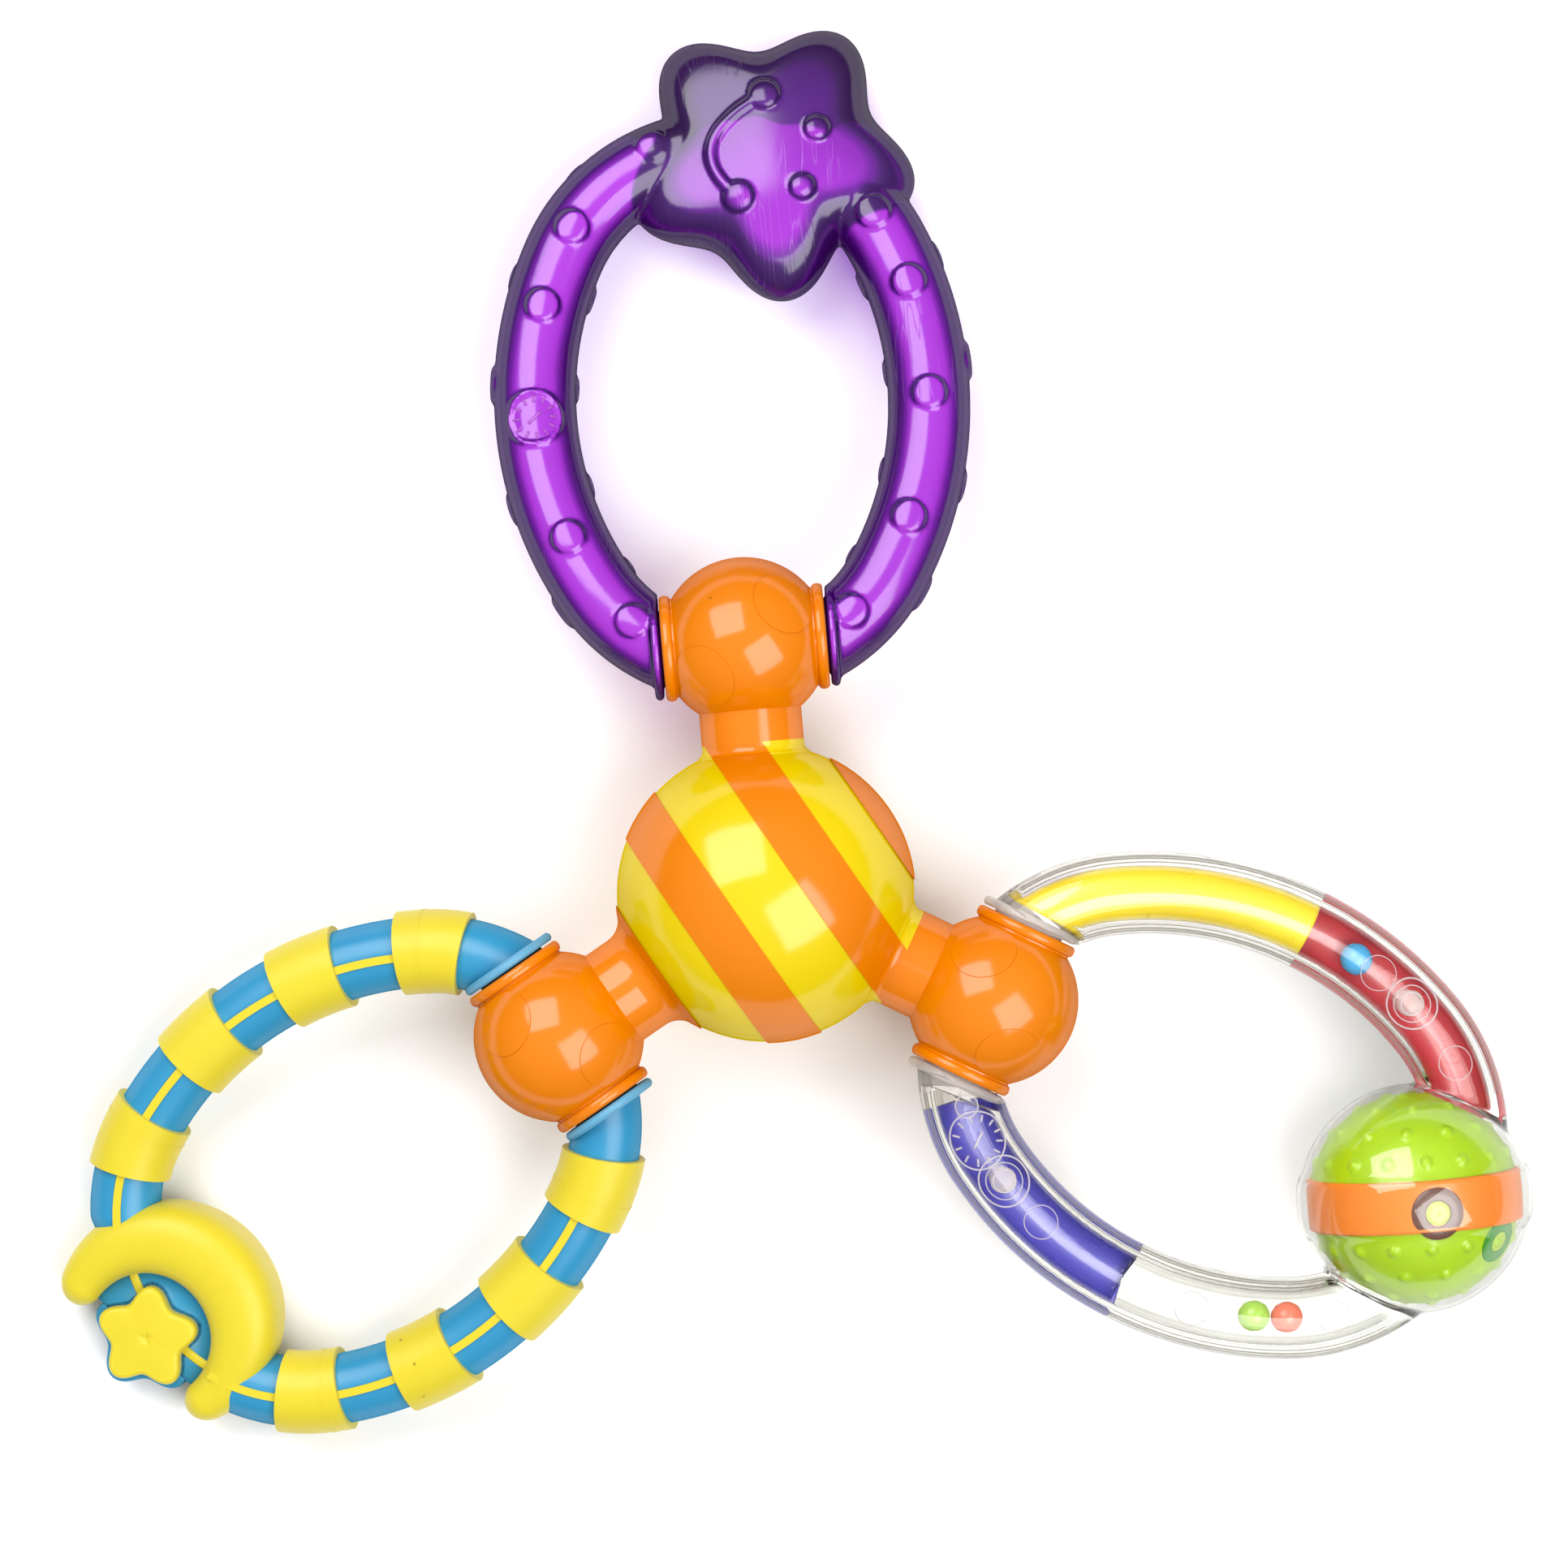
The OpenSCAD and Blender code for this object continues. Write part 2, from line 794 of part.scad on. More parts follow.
module bead(a, side) {
    p = side_point(a, side);
    in_clear_ring() translate([p[0], p[1], -bead_drop]) sphere(r = bead_r);
}

module bead_blue() { color([0.3, 0.68, 0.88]) bead(side_turn(blue_bead_x), 1); }
module bead_green() { color([0.68, 0.84, 0.35]) bead(side_turn(green_bead_x), -1); }
module bead_coral() { color([0.92, 0.49, 0.39]) bead(side_turn(green_bead_x) + bead_pitch_turn, -1); }

hub_front_shell();
hub_back_shell();
upper_stripe_front();
middle_stripe_front();
lower_stripe_front();
upper_stripe_back();
middle_stripe_back();
lower_stripe_back();
teether_shell();
teether_water();
moon_ring();
moon();
star_button();
band_left_1();
band_left_2();
band_left_3();
band_left_4();
band_right_1();
band_right_2();
band_right_3();
band_right_4();
runner_left();
runner_right();
clear_front_shell();
clear_back_shell();
yellow_tube();
red_liner();
violet_liner();
planet_front();
planet_back();
planet_band();
bead_blue();
bead_green();
bead_coral();
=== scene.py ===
"""Looks of the baby rattle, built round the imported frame.

Lengths in the shape code are millimetres in a loop's own frame, as in the part's source:
+X runs from the hinge to the loop's far end, +Y along the hinge, and z = 0 is the loop's middle plane.
"""
import bpy
import bmesh
import json
import math
import numpy as np
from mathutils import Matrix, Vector


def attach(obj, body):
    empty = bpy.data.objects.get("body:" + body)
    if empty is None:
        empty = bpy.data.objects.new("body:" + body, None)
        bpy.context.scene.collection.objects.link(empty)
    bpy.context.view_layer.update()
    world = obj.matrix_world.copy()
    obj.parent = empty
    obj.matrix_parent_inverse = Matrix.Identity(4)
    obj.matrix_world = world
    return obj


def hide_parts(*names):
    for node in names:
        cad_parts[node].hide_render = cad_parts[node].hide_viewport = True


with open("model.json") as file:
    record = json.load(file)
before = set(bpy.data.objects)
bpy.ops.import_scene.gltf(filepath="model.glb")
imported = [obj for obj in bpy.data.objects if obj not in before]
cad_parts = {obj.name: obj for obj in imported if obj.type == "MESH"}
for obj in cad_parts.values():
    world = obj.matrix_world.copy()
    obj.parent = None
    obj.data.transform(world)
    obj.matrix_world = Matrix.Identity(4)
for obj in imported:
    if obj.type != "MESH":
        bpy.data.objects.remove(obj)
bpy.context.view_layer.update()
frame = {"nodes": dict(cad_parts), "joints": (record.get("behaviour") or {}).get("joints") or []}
MM = 0.001
UP = np.array([0, 0, 1.0])
NODES = frame["nodes"]
JOINTS = {j["name"]: j for j in frame["joints"]}

# ---------- sizes, mostly as in the part's source ----------
REACH = 31.5
NEAR_R, NEAR_C = 21.0, 13.0
FAR_R, FAR_C = 22.2, 9.0
HALF_W = 24.4
FLANGE_IN, FLANGE_OUT, FLANGE_R = 10.35, 11.45, 6.3
PIN_R, HEAD_R, HEAD_FROM, HEAD_TO = 4.5, 5.6, 4.0, 5.35
COLLAR_MOUTH, COLLAR_END = 6.12, 9.42
TEETHER_R, TEETHER_WALL, TEETHER_LEAN = 5.1, 1.6, math.radians(1.8)
STAR_AT, STAR_TIP, STAR_VALLEY, STAR_T, STAR_TURN = (61.2, -6.3), 18.3, 13.8, 6.6, math.radians(183)
TUBE_R, RING_STOP = 4.4, 10.07
HOLLOW, HOLLOW_R = np.array([64.8, 1.6]), 7.9
PLATE_T, PLATE_RIM, BUTTON_H, BUTTON_TIP, BUTTON_VALLEY = 1.7, 0.9, 2.0, 6.5, 4.7
MOON_OPEN, MOON_SHIFT, MOON_R, MOON_T = math.radians(12.7), 3.4, 14.3, 5.8
HORN_R, HORN_TURN, MOON_LENS_R, MOON_LENS_SHIFT = 2.7, math.radians(83.35), 70.0, 10.0
CLEAR_R, CHANNEL_R, PEG_R, PLANET, DOME_R = 5.1, 3.4, 1.5, np.array([57.9, 0.0, 0.0]), 14.2
BALL_R, BALL_FLAT, BAND_HALF, BAND_TURN = 13.0, 12.4, 3.15, math.radians(29.2)
BELT_R, SPOT_R = 13.55, 13.2
AXIS_R = 0.01  # a turned profile starts this far from its axis

# The oval is four arcs: a near end, a far end, and two flatter sides that touch both
near_rise, far_rise = HALF_W - NEAR_R, HALF_W - FAR_R
ratio = far_rise / near_rise
side_b = FAR_C + ratio * NEAR_C
side_q = FAR_C ** 2 - ratio * NEAR_C ** 2 + ratio * near_rise ** 2 - far_rise ** 2
SIDE_X = side_q / (side_b + math.sqrt(side_b ** 2 - (1 - ratio) * side_q))
SIDE_C = ((SIDE_X + NEAR_C) ** 2 - near_rise ** 2) / (2 * near_rise)
SIDE_R = SIDE_C + HALF_W
FAR_TURN = math.atan2(SIDE_C, FAR_C - SIDE_X)
NEAR_TURN = math.pi - math.atan2(SIDE_C, SIDE_X + NEAR_C)
FAR_LEN = FAR_R * FAR_TURN
SIDE_LEN = SIDE_R * (NEAR_TURN - FAR_TURN)
ALL_LEN = FAR_LEN + SIDE_LEN + NEAR_R * (math.radians(158) - NEAR_TURN)


# ---------- frames ----------
def loop_frame(joint):
    """Rotation and origin, in mm, of a loop's own frame, from its hinge."""
    j = JOINTS[joint]
    y = np.array(j["axis"])
    droop = math.radians(90 - j["range_deg"][1])
    out = np.cross(y, UP)
    x = out * math.cos(droop) - UP * math.sin(droop)
    return np.stack([x, y, np.cross(x, y)], 1), np.array(j["pos_m"]) / MM


LOOPS = {"teether_loop": loop_frame("teether_hinge"), "moon_loop": loop_frame("moon_hinge"),
         "clear_loop": loop_frame("clear_hinge")}


def lean(v):
    """Turns points in the teether's frame by its slight lean."""
    c, s = math.cos(-TEETHER_LEAN), math.sin(-TEETHER_LEAN)
    return np.stack([v[:, 0] * c - v[:, 1] * s, v[:, 0] * s + v[:, 1] * c, v[:, 2]], 1)


def smooth_step(a, b, x):
    t = np.clip((x - a) / (b - a), 0, 1)
    return t * t * (3 - 2 * t)


# ---------- centreline of the oval ----------
def along(s):
    """Points and outward normals of the oval's centreline at signed lengths s from the far end."""
    s = np.atleast_1d(np.asarray(s, float))
    a, side = np.abs(s), np.where(s < 0, -1.0, 1.0)
    t = np.where(a < FAR_LEN, a / FAR_R,
                 np.where(a < FAR_LEN + SIDE_LEN, FAR_TURN + (a - FAR_LEN) / SIDE_R,
                          NEAR_TURN + (a - FAR_LEN - SIDE_LEN) / NEAR_R))
    r = np.where(a < FAR_LEN, FAR_R, np.where(a < FAR_LEN + SIDE_LEN, SIDE_R, NEAR_R))
    cx = np.where(a < FAR_LEN, FAR_C, np.where(a < FAR_LEN + SIDE_LEN, SIDE_X, -NEAR_C))
    cy = np.where((a >= FAR_LEN) & (a < FAR_LEN + SIDE_LEN), -SIDE_C, 0)
    p = np.stack([REACH + cx + r * np.cos(t), side * (cy + r * np.sin(t)), 0 * t], 1)
    n = np.stack([np.cos(t), side * np.sin(t), 0 * t], 1)
    return p, n


# ---------- mesh makers: each returns (points, faces) ----------
def grid(pts, close_u=False, close_v=True, caps=True):
    """Quads over an array of points [u, v, 3], with a fan at each end."""
    nu, nv = pts.shape[:2]
    v = pts.reshape(-1, 3)
    faces = []
    for i in range(nu if close_u else nu - 1):
        k = (i + 1) % nu
        for j in range(nv if close_v else nv - 1):
            m = (j + 1) % nv
            faces.append((i * nv + j, i * nv + m, k * nv + m, k * nv + j))
    if caps and not close_u:
        for row, flip in ((0, True), (nu - 1, False)):
            v = np.vstack([v, pts[row].mean(0)])
            c = len(v) - 1
            for j in range(nv):
                m = (j + 1) % nv
                a, b = row * nv + j, row * nv + m
                faces.append((c, b, a) if flip else (c, a, b))
    return v, faces


def across_line(p, nrm, section):
    """Points of a flat section, (outward, up), set square to a line at each of its points."""
    sec = np.array(section)
    return p[:, None] + nrm[:, None] * sec[None, :, :1] + UP * sec[None, :, 1:]


def sweep(s, radius, n=96):
    """A tube along the oval. radius(s, angle) gives its radius; angle 0 is outward and 90 degrees is up."""
    p, nrm = along(s)
    th = np.linspace(0, 2 * math.pi, n, endpoint=False)
    r = radius(s[:, None], th[None, :]) * np.ones((len(s), n))
    pts = (p[:, None] + nrm[:, None] * (r * np.cos(th))[..., None]
           + UP * (r * np.sin(th))[..., None])
    return grid(pts)


def plain(radius):
    """The same radius all along a sweep."""
    return lambda s, th: radius + 0 * s * th


def lathe(profile, n=96, axis="y", at=(0, 0, 0)):
    """Turns (radius, height) points round an axis."""
    th = np.linspace(0, 2 * math.pi, n, endpoint=False)
    prof = np.array(profile, float)
    c, s = np.cos(th), np.sin(th)
    r, h = prof[:, :1], prof[:, 1:] * np.ones(n)
    pts = {"x": (h, r * c, r * s), "y": (r * s, h, r * c), "z": (r * c, r * s, h)}[axis]
    return grid(np.stack(pts, -1) + np.array(at, float))


def ball(r, at, n=96, warp=None):
    """A ball; warp(unit directions) gives an extra height."""
    lat = np.linspace(-math.pi / 2 + 0.01, math.pi / 2 - 0.01, n // 2)
    lon = np.linspace(0, 2 * math.pi, n, endpoint=False)
    d = np.stack([np.cos(lat)[:, None] * np.cos(lon), np.cos(lat)[:, None] * np.sin(lon),
                  np.sin(lat)[:, None] * np.ones(n)], -1)
    h = warp(d) if warp else np.zeros(d.shape[:2])
    return grid(np.array(at, float) + d * (r + h)[..., None])


def clamp_ends(v, stop):
    """Flattens a tube's ends onto the hinge flanges."""
    near = (v[:, 0] < REACH - NEAR_C) & (np.abs(v[:, 1]) < stop)
    side = np.where(v[:, 1] < 0, -1.0, 1.0)
    v[near, 1] = (side * stop)[near]
    return v


def star_radius(t, tip, valley):
    """The outline of a rounded five-lobed star: its radius at angle t."""
    return (tip + valley) / 2 + (tip - valley) / 2 * np.cos(5 * (t - STAR_TURN))


def pillow_star(at, tip, valley, height, edge, rings=60, n=240, relief=None):
    """A puffy star: crowned faces and rounded sides. relief(x, y) adds to the upper face."""
    t = np.linspace(0, 2 * math.pi, n, endpoint=False)
    rho = star_radius(t, tip, valley)
    f = 1 - np.linspace(0, 1, rings) ** 1.6
    rr = f[:, None] * rho[None, :]
    e = np.clip((rho[None, :] - rr) / edge, 0, 1)
    crown = height(rr) * np.sqrt(np.maximum(1 - (1 - e) ** 2, 0))
    x, y = rr * np.cos(t), rr * np.sin(t)
    top = crown + (relief(x, y) if relief else 0)
    upper = np.stack([x + at[0], y + at[1], top], -1)[::-1]
    lower = np.stack([x + at[0], y + at[1], -crown], -1)[1:]
    return grid(np.concatenate([upper, lower], 0)[1:-1])


def disc_bump(d, r, h, edge=0.45, dome=0.25):
    """Height of a raised round button at distance d from its middle."""
    return h * (1 - smooth_step(r - edge, r, d)) * (1 - dome * np.clip(d / r, 0, 1) ** 2)


# ---------- objects ----------
def to_mesh(name, v, faces):
    me = bpy.data.meshes.new(name)
    me.from_pydata(np.asarray(v, float).tolist(), [], [tuple(f) for f in faces])
    me.update()
    return me


def joined(parts):
    """Several parts as one list of points and faces."""
    vs, fs, k = [], [], 0
    for v, f in parts:
        vs.append(v)
        fs += [tuple(i + k for i in q) for q in f]
        k += len(v)
    return np.vstack(vs), fs


def fused(parts, voxel, rounds=3):
    """One closed skin round overlapping solids, from a voxel remesh, lightly smoothed."""
    me = to_mesh("tmp", *joined(parts))
    bm = bmesh.new()
    bm.from_mesh(me)
    bmesh.ops.recalc_face_normals(bm, faces=bm.faces)
    bm.to_mesh(me)
    bm.free()
    ob = bpy.data.objects.new("tmp", me)
    bpy.context.scene.collection.objects.link(ob)
    m = ob.modifiers.new("remesh", "REMESH")
    m.mode = "VOXEL"
    m.voxel_size = voxel
    if rounds:
        m = ob.modifiers.new("smooth", "SMOOTH")
        m.factor = 0.5
        m.iterations = rounds
    dg = bpy.context.evaluated_depsgraph_get()
    out = bpy.data.meshes.new_from_object(ob.evaluated_get(dg))
    v = np.zeros(len(out.vertices) * 3, np.float32)
    out.vertices.foreach_get("co", v)
    faces = [tuple(p.vertices) for p in out.polygons]
    bpy.data.objects.remove(ob)
    bpy.data.meshes.remove(out)
    bpy.data.meshes.remove(me)
    return v.reshape(-1, 3).astype(float), faces


def piece(name, body, parts, mat, replaces=(), loop=None, marks=None):
    """Makes an object from parts in a loop's frame (or the row's, in mm, where loop is None)."""
    v, f = joined(parts)
    if loop:
        rot, origin = LOOPS[loop]
        v = v @ rot.T + origin
    ob = bpy.data.objects.new(name, to_mesh(name, v * MM, f))
    bpy.context.scene.collection.objects.link(ob)
    ob.data.polygons.foreach_set("use_smooth", [True] * len(f))
    ob.data.materials.append(mat)
    for key, values in (marks or {}).items():
        ob.data.attributes.new(key, "FLOAT", "POINT").data.foreach_set("value", values.astype(np.float32))
    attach(ob, body)
    if replaces:
        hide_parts(*replaces)
    return ob


def fix_normals(v, f, inward=False):
    """Turns a closed skin's faces the same way round."""
    me = to_mesh("tmp", v, f)
    bm = bmesh.new()
    bm.from_mesh(me)
    bmesh.ops.remove_doubles(bm, verts=bm.verts, dist=1e-5)
    bmesh.ops.recalc_face_normals(bm, faces=bm.faces)
    if inward:
        bmesh.ops.reverse_faces(bm, faces=bm.faces)
    bm.verts.index_update()
    v = np.array([q.co[:] for q in bm.verts])
    f = [tuple(q.index for q in face.verts) for face in bm.faces]
    bm.free()
    bpy.data.meshes.remove(me)
    return v, f


# ---------- materials ----------
def rgb(r, g, b, a=1.0):
    """An 8-bit display colour as linear light."""
    lin = [((c / 255 + 0.055) / 1.055) ** 2.4 if c > 10 else c / 255 / 12.92 for c in (r, g, b)]
    return (*lin, a)


LIGHT_LEVEL = 1.6  # how much brighter than white paint at level 1 the studio light makes a surface


def paint(r, g, b):
    """The reflectance of a surface that shows as this display colour in the studio light."""
    return tuple(c / LIGHT_LEVEL for c in rgb(r, g, b)[:3]) + (1.0,)


class Tree:
    """A material's nodes, with short ways to add and link them."""

    def __init__(self, name):
        self.mat = bpy.data.materials.new(name)
        self.mat.use_nodes = True
        self.nt = self.mat.node_tree
        self.nt.nodes.clear()
        self.out = self.add("ShaderNodeOutputMaterial")
        self.where = self.add("ShaderNodeTexCoord").outputs["Object"]

    def add(self, kind, **values):
        n = self.nt.nodes.new(kind)
        for k, v in values.items():
            setattr(n, k, v)
        return n

    def put(self, socket, value):
        if isinstance(value, bpy.types.NodeSocket):
            self.nt.links.new(value, socket)
        else:
            socket.default_value = value

    def noise(self, scale, detail=4.0, rough=0.55, stretch=None):
        n = self.add("ShaderNodeTexNoise")
        self.put(n.inputs["Vector"], self.mapped(stretch) if stretch else self.where)
        n.inputs["Scale"].default_value = scale
        n.inputs["Detail"].default_value = detail
        n.inputs["Roughness"].default_value = rough
        return n.outputs["Fac"]

    def mapped(self, scale, turn=(0, 0, 0)):
        m = self.add("ShaderNodeMapping")
        self.put(m.inputs["Vector"], self.where)
        m.inputs["Scale"].default_value = scale
        m.inputs["Rotation"].default_value = turn
        return m.outputs["Vector"]

    def ramp(self, fac, *stops):
        r = self.add("ShaderNodeValToRGB")
        self.put(r.inputs["Fac"], fac)
        els = r.color_ramp.elements
        while len(els) < len(stops):
            els.new(0.5)
        for e, (pos, col) in zip(els, sorted(stops, key=lambda q: q[0])):
            e.position = pos
            e.color = col if hasattr(col, "__len__") else (col, col, col, 1)
        return r.outputs["Color"]

    def mix(self, fac, a, b, how="MIX"):
        m = self.add("ShaderNodeMix", data_type="RGBA", blend_type=how)
        self.put(m.inputs["Factor"], fac)
        self.put(m.inputs["A"], a)
        self.put(m.inputs["B"], b)
        return m.outputs["Result"]

    def math(self, how, a, b=0.0):
        m = self.add("ShaderNodeMath", operation=how)
        self.put(m.inputs[0], a)
        self.put(m.inputs[1], b)
        return m.outputs[0]

    def mark(self, name):
        return self.add("ShaderNodeAttribute", attribute_name=name).outputs["Fac"]

    def facing(self):
        n = self.add("ShaderNodeLayerWeight")
        n.inputs["Blend"].default_value = 0.5
        return n.outputs["Facing"]

    def scratches(self, scale=90, width=0.012, squeeze=(1, 14, 1)):
        """Fine straight wear lines, as a mask. They run square to the squeezed direction."""
        w = self.add("ShaderNodeTexNoise")
        self.put(w.inputs["Vector"], self.mapped(squeeze, (0.3, 0.2, 0.5)))
        w.inputs["Scale"].default_value = scale
        w.inputs["Detail"].default_value = 1.0
        d = self.math("ABSOLUTE", self.math("SUBTRACT", w.outputs["Fac"], 0.5))
        line = self.ramp(d, (0.0, 1.0), (width, 0.0))
        keep = self.ramp(self.noise(60, 2), (0.52, 0.0), (0.62, 1.0))
        return self.mix(1.0, line, keep, "MULTIPLY")

    def bump(self, height, strength, distance=0.0002):
        b = self.add("ShaderNodeBump")
        self.put(b.inputs["Height"], height)
        b.inputs["Strength"].default_value = strength
        b.inputs["Distance"].default_value = distance
        return b.outputs["Normal"]

    def rim_gloss(self, level=0.55):
        """Specular level that falls off towards grazing views, as on slightly chalky moulded plastic."""
        return self.ramp(self.facing(), (0.0, level), (0.3, level * 0.9), (0.5, level * 0.35), (0.72, 0.015),
                         (0.86, 0.0))

    def shader(self, color, rough, normal=None, gloss=None, **sockets):
        p = self.add("ShaderNodeBsdfPrincipled")
        if gloss is not None:
            self.put(p.inputs["Specular IOR Level"], gloss)
        self.put(p.inputs["Base Color"], color)
        self.put(p.inputs["Roughness"], rough)
        if normal is not None:
            self.put(p.inputs["Normal"], normal)
        for k, v in sockets.items():
            p.inputs[k.replace("_", " ")].default_value = v
        return p.outputs[0]

    def done(self, surface):
        self.put(self.out.inputs["Surface"], surface)
        return self.mat


def gloss(name, color, shade, rough=0.14, marks=0.5, ior=1.46, specks=True):
    """Hard glossy moulded plastic: slow colour drift, flow waviness, fine scratches and a few dust specks."""
    t = Tree(name)
    drift = t.ramp(t.noise(35, 3), (0.35, 0.0), (0.7, 1.0))
    col = t.mix(t.math("MULTIPLY", drift, 0.35), color, shade)
    if specks:
        v = t.add("ShaderNodeTexVoronoi")
        t.put(v.inputs["Vector"], t.where)
        v.inputs["Scale"].default_value = 170
        dot = t.ramp(v.outputs["Distance"], (0.03, 1.0), (0.05, 0.0))
        rare = t.ramp(t.noise(55, 1), (0.6, 0.0), (0.63, 1.0))
        col = t.mix(t.math("MULTIPLY", t.mix(1.0, dot, rare, "MULTIPLY"), 0.5), col, paint(110, 60, 20))
    lines = t.scratches()
    r = t.math("ADD", t.math("MULTIPLY", t.noise(120, 5), 0.10),
               t.math("ADD", rough - 0.05, t.math("MULTIPLY", lines, 0.25 * marks)))
    wavy = t.math("ADD", t.math("MULTIPLY", t.noise(45, 2), 1.0), t.math("MULTIPLY", lines, 0.12 * marks))
    return t.done(t.shader(col, r, t.bump(wavy, 0.16, 0.0004), t.rim_gloss(), IOR=ior))


def soft(name, color, shade, rough=0.42):
    """Satin soft-touch overmould: powdery grain, faint mottling and dark pin specks."""
    t = Tree(name)
    mottled = t.ramp(t.noise(60, 5, 0.65), (0.3, 0.0), (0.75, 1.0))
    col = t.mix(t.math("MULTIPLY", mottled, 0.5), color, shade)
    v = t.add("ShaderNodeTexVoronoi")
    t.put(v.inputs["Vector"], t.where)
    v.inputs["Scale"].default_value = 230
    dot = t.ramp(v.outputs["Distance"], (0.035, 1.0), (0.06, 0.0))
    rare = t.ramp(t.noise(70, 1), (0.58, 0.0), (0.62, 1.0))
    col = t.mix(t.math("MULTIPLY", t.mix(1.0, dot, rare, "MULTIPLY"), 0.6), col, paint(120, 90, 20))
    r = t.math("ADD", t.math("MULTIPLY", t.noise(300, 3), 0.16), rough - 0.08)
    grain = t.math("ADD", t.noise(900, 2), t.math("MULTIPLY", t.noise(70, 3), 1.5))
    return t.done(t.shader(col, r, t.bump(grain, 0.22, 0.00012), IOR=1.42, Sheen_Weight=0.08))


def lamps_pass(t, surface, tint):
    """Lets lamps through a see-through piece, so that it casts a tinted shadow."""
    path = t.add("ShaderNodeLightPath")
    clear = t.add("ShaderNodeBsdfTransparent")
    clear.inputs["Color"].default_value = tint
    m = t.add("ShaderNodeMixShader")
    t.put(m.inputs[0], path.outputs["Is Shadow Ray"])
    t.put(m.inputs[1], surface)
    t.put(m.inputs[2], clear.outputs[0])
    return m.outputs[0]


def purple_skin():
    """See-through purple soft plastic full of water, with painted light and shade in its colour: painted
    brightness where it is seen square on, painted shade towards its edges. One mark, from 0 to 1, tells where
    painted shade darkens the star, most where its wall is steep by the rim; the other, air, tells where the
    bubble is, which gets its own darker painted shading."""
    t = Tree("teether_purple")
    f = t.facing()
    wander = t.math("MULTIPLY", t.math("SUBTRACT", t.noise(70, 3), 0.5), 0.09)
    # How much painted shade: more towards grazing views and over the star, with a little noise.
    shade_amount = t.math("ADD", t.math("ADD", f, wander), t.math("MULTIPLY", t.mark("painted_shade"), 0.30))
    # Painted light and shade where the water is: a bright painted middle, painted shade towards the edges,
    # and a lighter painted line where the inner wall shows.
    full = t.ramp(shade_amount, (0.0, paint(204, 64, 248)), (0.12, paint(194, 50, 240)), (0.20, paint(130, 16, 180)),
                  (0.30, paint(72, 2, 116)), (0.48, paint(58, 0, 98)), (0.55, paint(94, 24, 134)),
                  (0.62, paint(60, 4, 100)), (1.0, paint(44, 0, 76)))
    # Painted shade over the bubble: the same fall from a brighter middle to dark edges, but darker all over.
    empty = t.ramp(shade_amount, (0.0, paint(128, 34, 178)), (0.16, paint(94, 14, 142)), (0.34, paint(50, 0, 82)),
                   (1.0, paint(36, 0, 58)))
    col = t.mix(t.mark("air"), full, empty)
    cloudy = t.math("MULTIPLY", t.ramp(t.noise(28, 4), (0.4, 0.0), (0.7, 1.0)), 0.25)
    col = t.mix(cloudy, col, paint(96, 10, 140))
    lines = t.scratches(60, 0.02, (16, 1, 1))
    worn = t.math("ADD", t.math("MULTIPLY", t.noise(160, 4), 0.12), t.math("MULTIPLY", lines, 0.3))
    r = t.math("ADD", 0.10, worn)
    h = t.math("ADD", t.noise(55, 3), t.math("MULTIPLY", lines, 0.25))
    body = t.shader(col, r, t.bump(h, 0.2, 0.0005), t.rim_gloss(), IOR=1.62)
    clear = t.add("ShaderNodeBsdfTransparent")
    # The light let through is also darker where the painted shade is.
    tint = t.ramp(shade_amount, (0.0, rgb(205, 90, 235)), (0.2, rgb(140, 30, 190)), (0.4, rgb(60, 0, 95)))
    t.put(clear.inputs["Color"], tint)
    m = t.add("ShaderNodeMixShader")
    t.put(m.inputs[0], 0.8)
    t.put(m.inputs[1], clear.outputs[0])
    t.put(m.inputs[2], body)
    return t.done(lamps_pass(t, m.outputs[0], rgb(190, 120, 215)))


def inner_purple(name, bright, painted_shade):
    """The faint outline of the water inside the teether, drawn as painted shade that darkens towards grazing
    views.
    """
    t = Tree(name)
    f = t.facing()
    clear = t.add("ShaderNodeBsdfTransparent")
    # Painted shade: the light let through turns dark towards grazing views.
    t.put(clear.inputs["Color"], t.ramp(f, (0.0, bright), (0.55, bright), (0.9, painted_shade)))
    shine = t.shader(t.mix(t.noise(90), bright, painted_shade), 0.2, IOR=1.4)
    m = t.add("ShaderNodeMixShader")
    t.put(m.inputs[0], t.ramp(f, (0.3, 0.05), (0.95, 0.5)))
    t.put(m.inputs[1], clear.outputs[0])
    t.put(m.inputs[2], shine)
    return t.done(lamps_pass(t, m.outputs[0], rgb(225, 190, 240)))


def clear_plastic():
    """Thick clear plastic with flow lines and handling marks; its colour holds painted shade, greyer where
    its wall is seen edge on, with painted grey lines where the walls show.
    """
    t = Tree("clear")
    lines = t.scratches(80, 0.010)
    r = t.math("ADD", 0.02, t.math("MULTIPLY", lines, 0.2))
    h = t.math("ADD", t.noise(60, 2), t.math("MULTIPLY", lines, 0.15))
    shade_amount = t.math("ADD", t.facing(), t.math("MULTIPLY", t.math("SUBTRACT", t.noise(90, 3), 0.5), 0.12))
    # Painted shade: grey towards grazing views, with painted light and dark bands for the wall lines.
    tint = t.ramp(shade_amount, (0.0, rgb(253, 253, 251)), (0.22, rgb(246, 246, 243)), (0.30, rgb(172, 171, 164)),
                  (0.36, rgb(202, 201, 195)), (0.46, rgb(188, 187, 179)), (0.54, rgb(158, 157, 149)),
                  (0.62, rgb(198, 197, 190)), (0.76, rgb(150, 148, 140)), (1.0, rgb(128, 126, 119)))
    # Milder painted grey over the thin dome.
    thin = t.ramp(shade_amount, (0.0, rgb(254, 254, 253)), (0.5, rgb(246, 246, 243)), (0.8, rgb(196, 196, 190)),
                  (1.0, rgb(160, 160, 154)))
    col = t.mix(t.mark("thin"), tint, thin)
    g = t.shader(col, r, t.bump(h, 0.10, 0.0003), Transmission_Weight=1.0, IOR=1.40)
    return t.done(lamps_pass(t, g, rgb(249, 250, 249)))


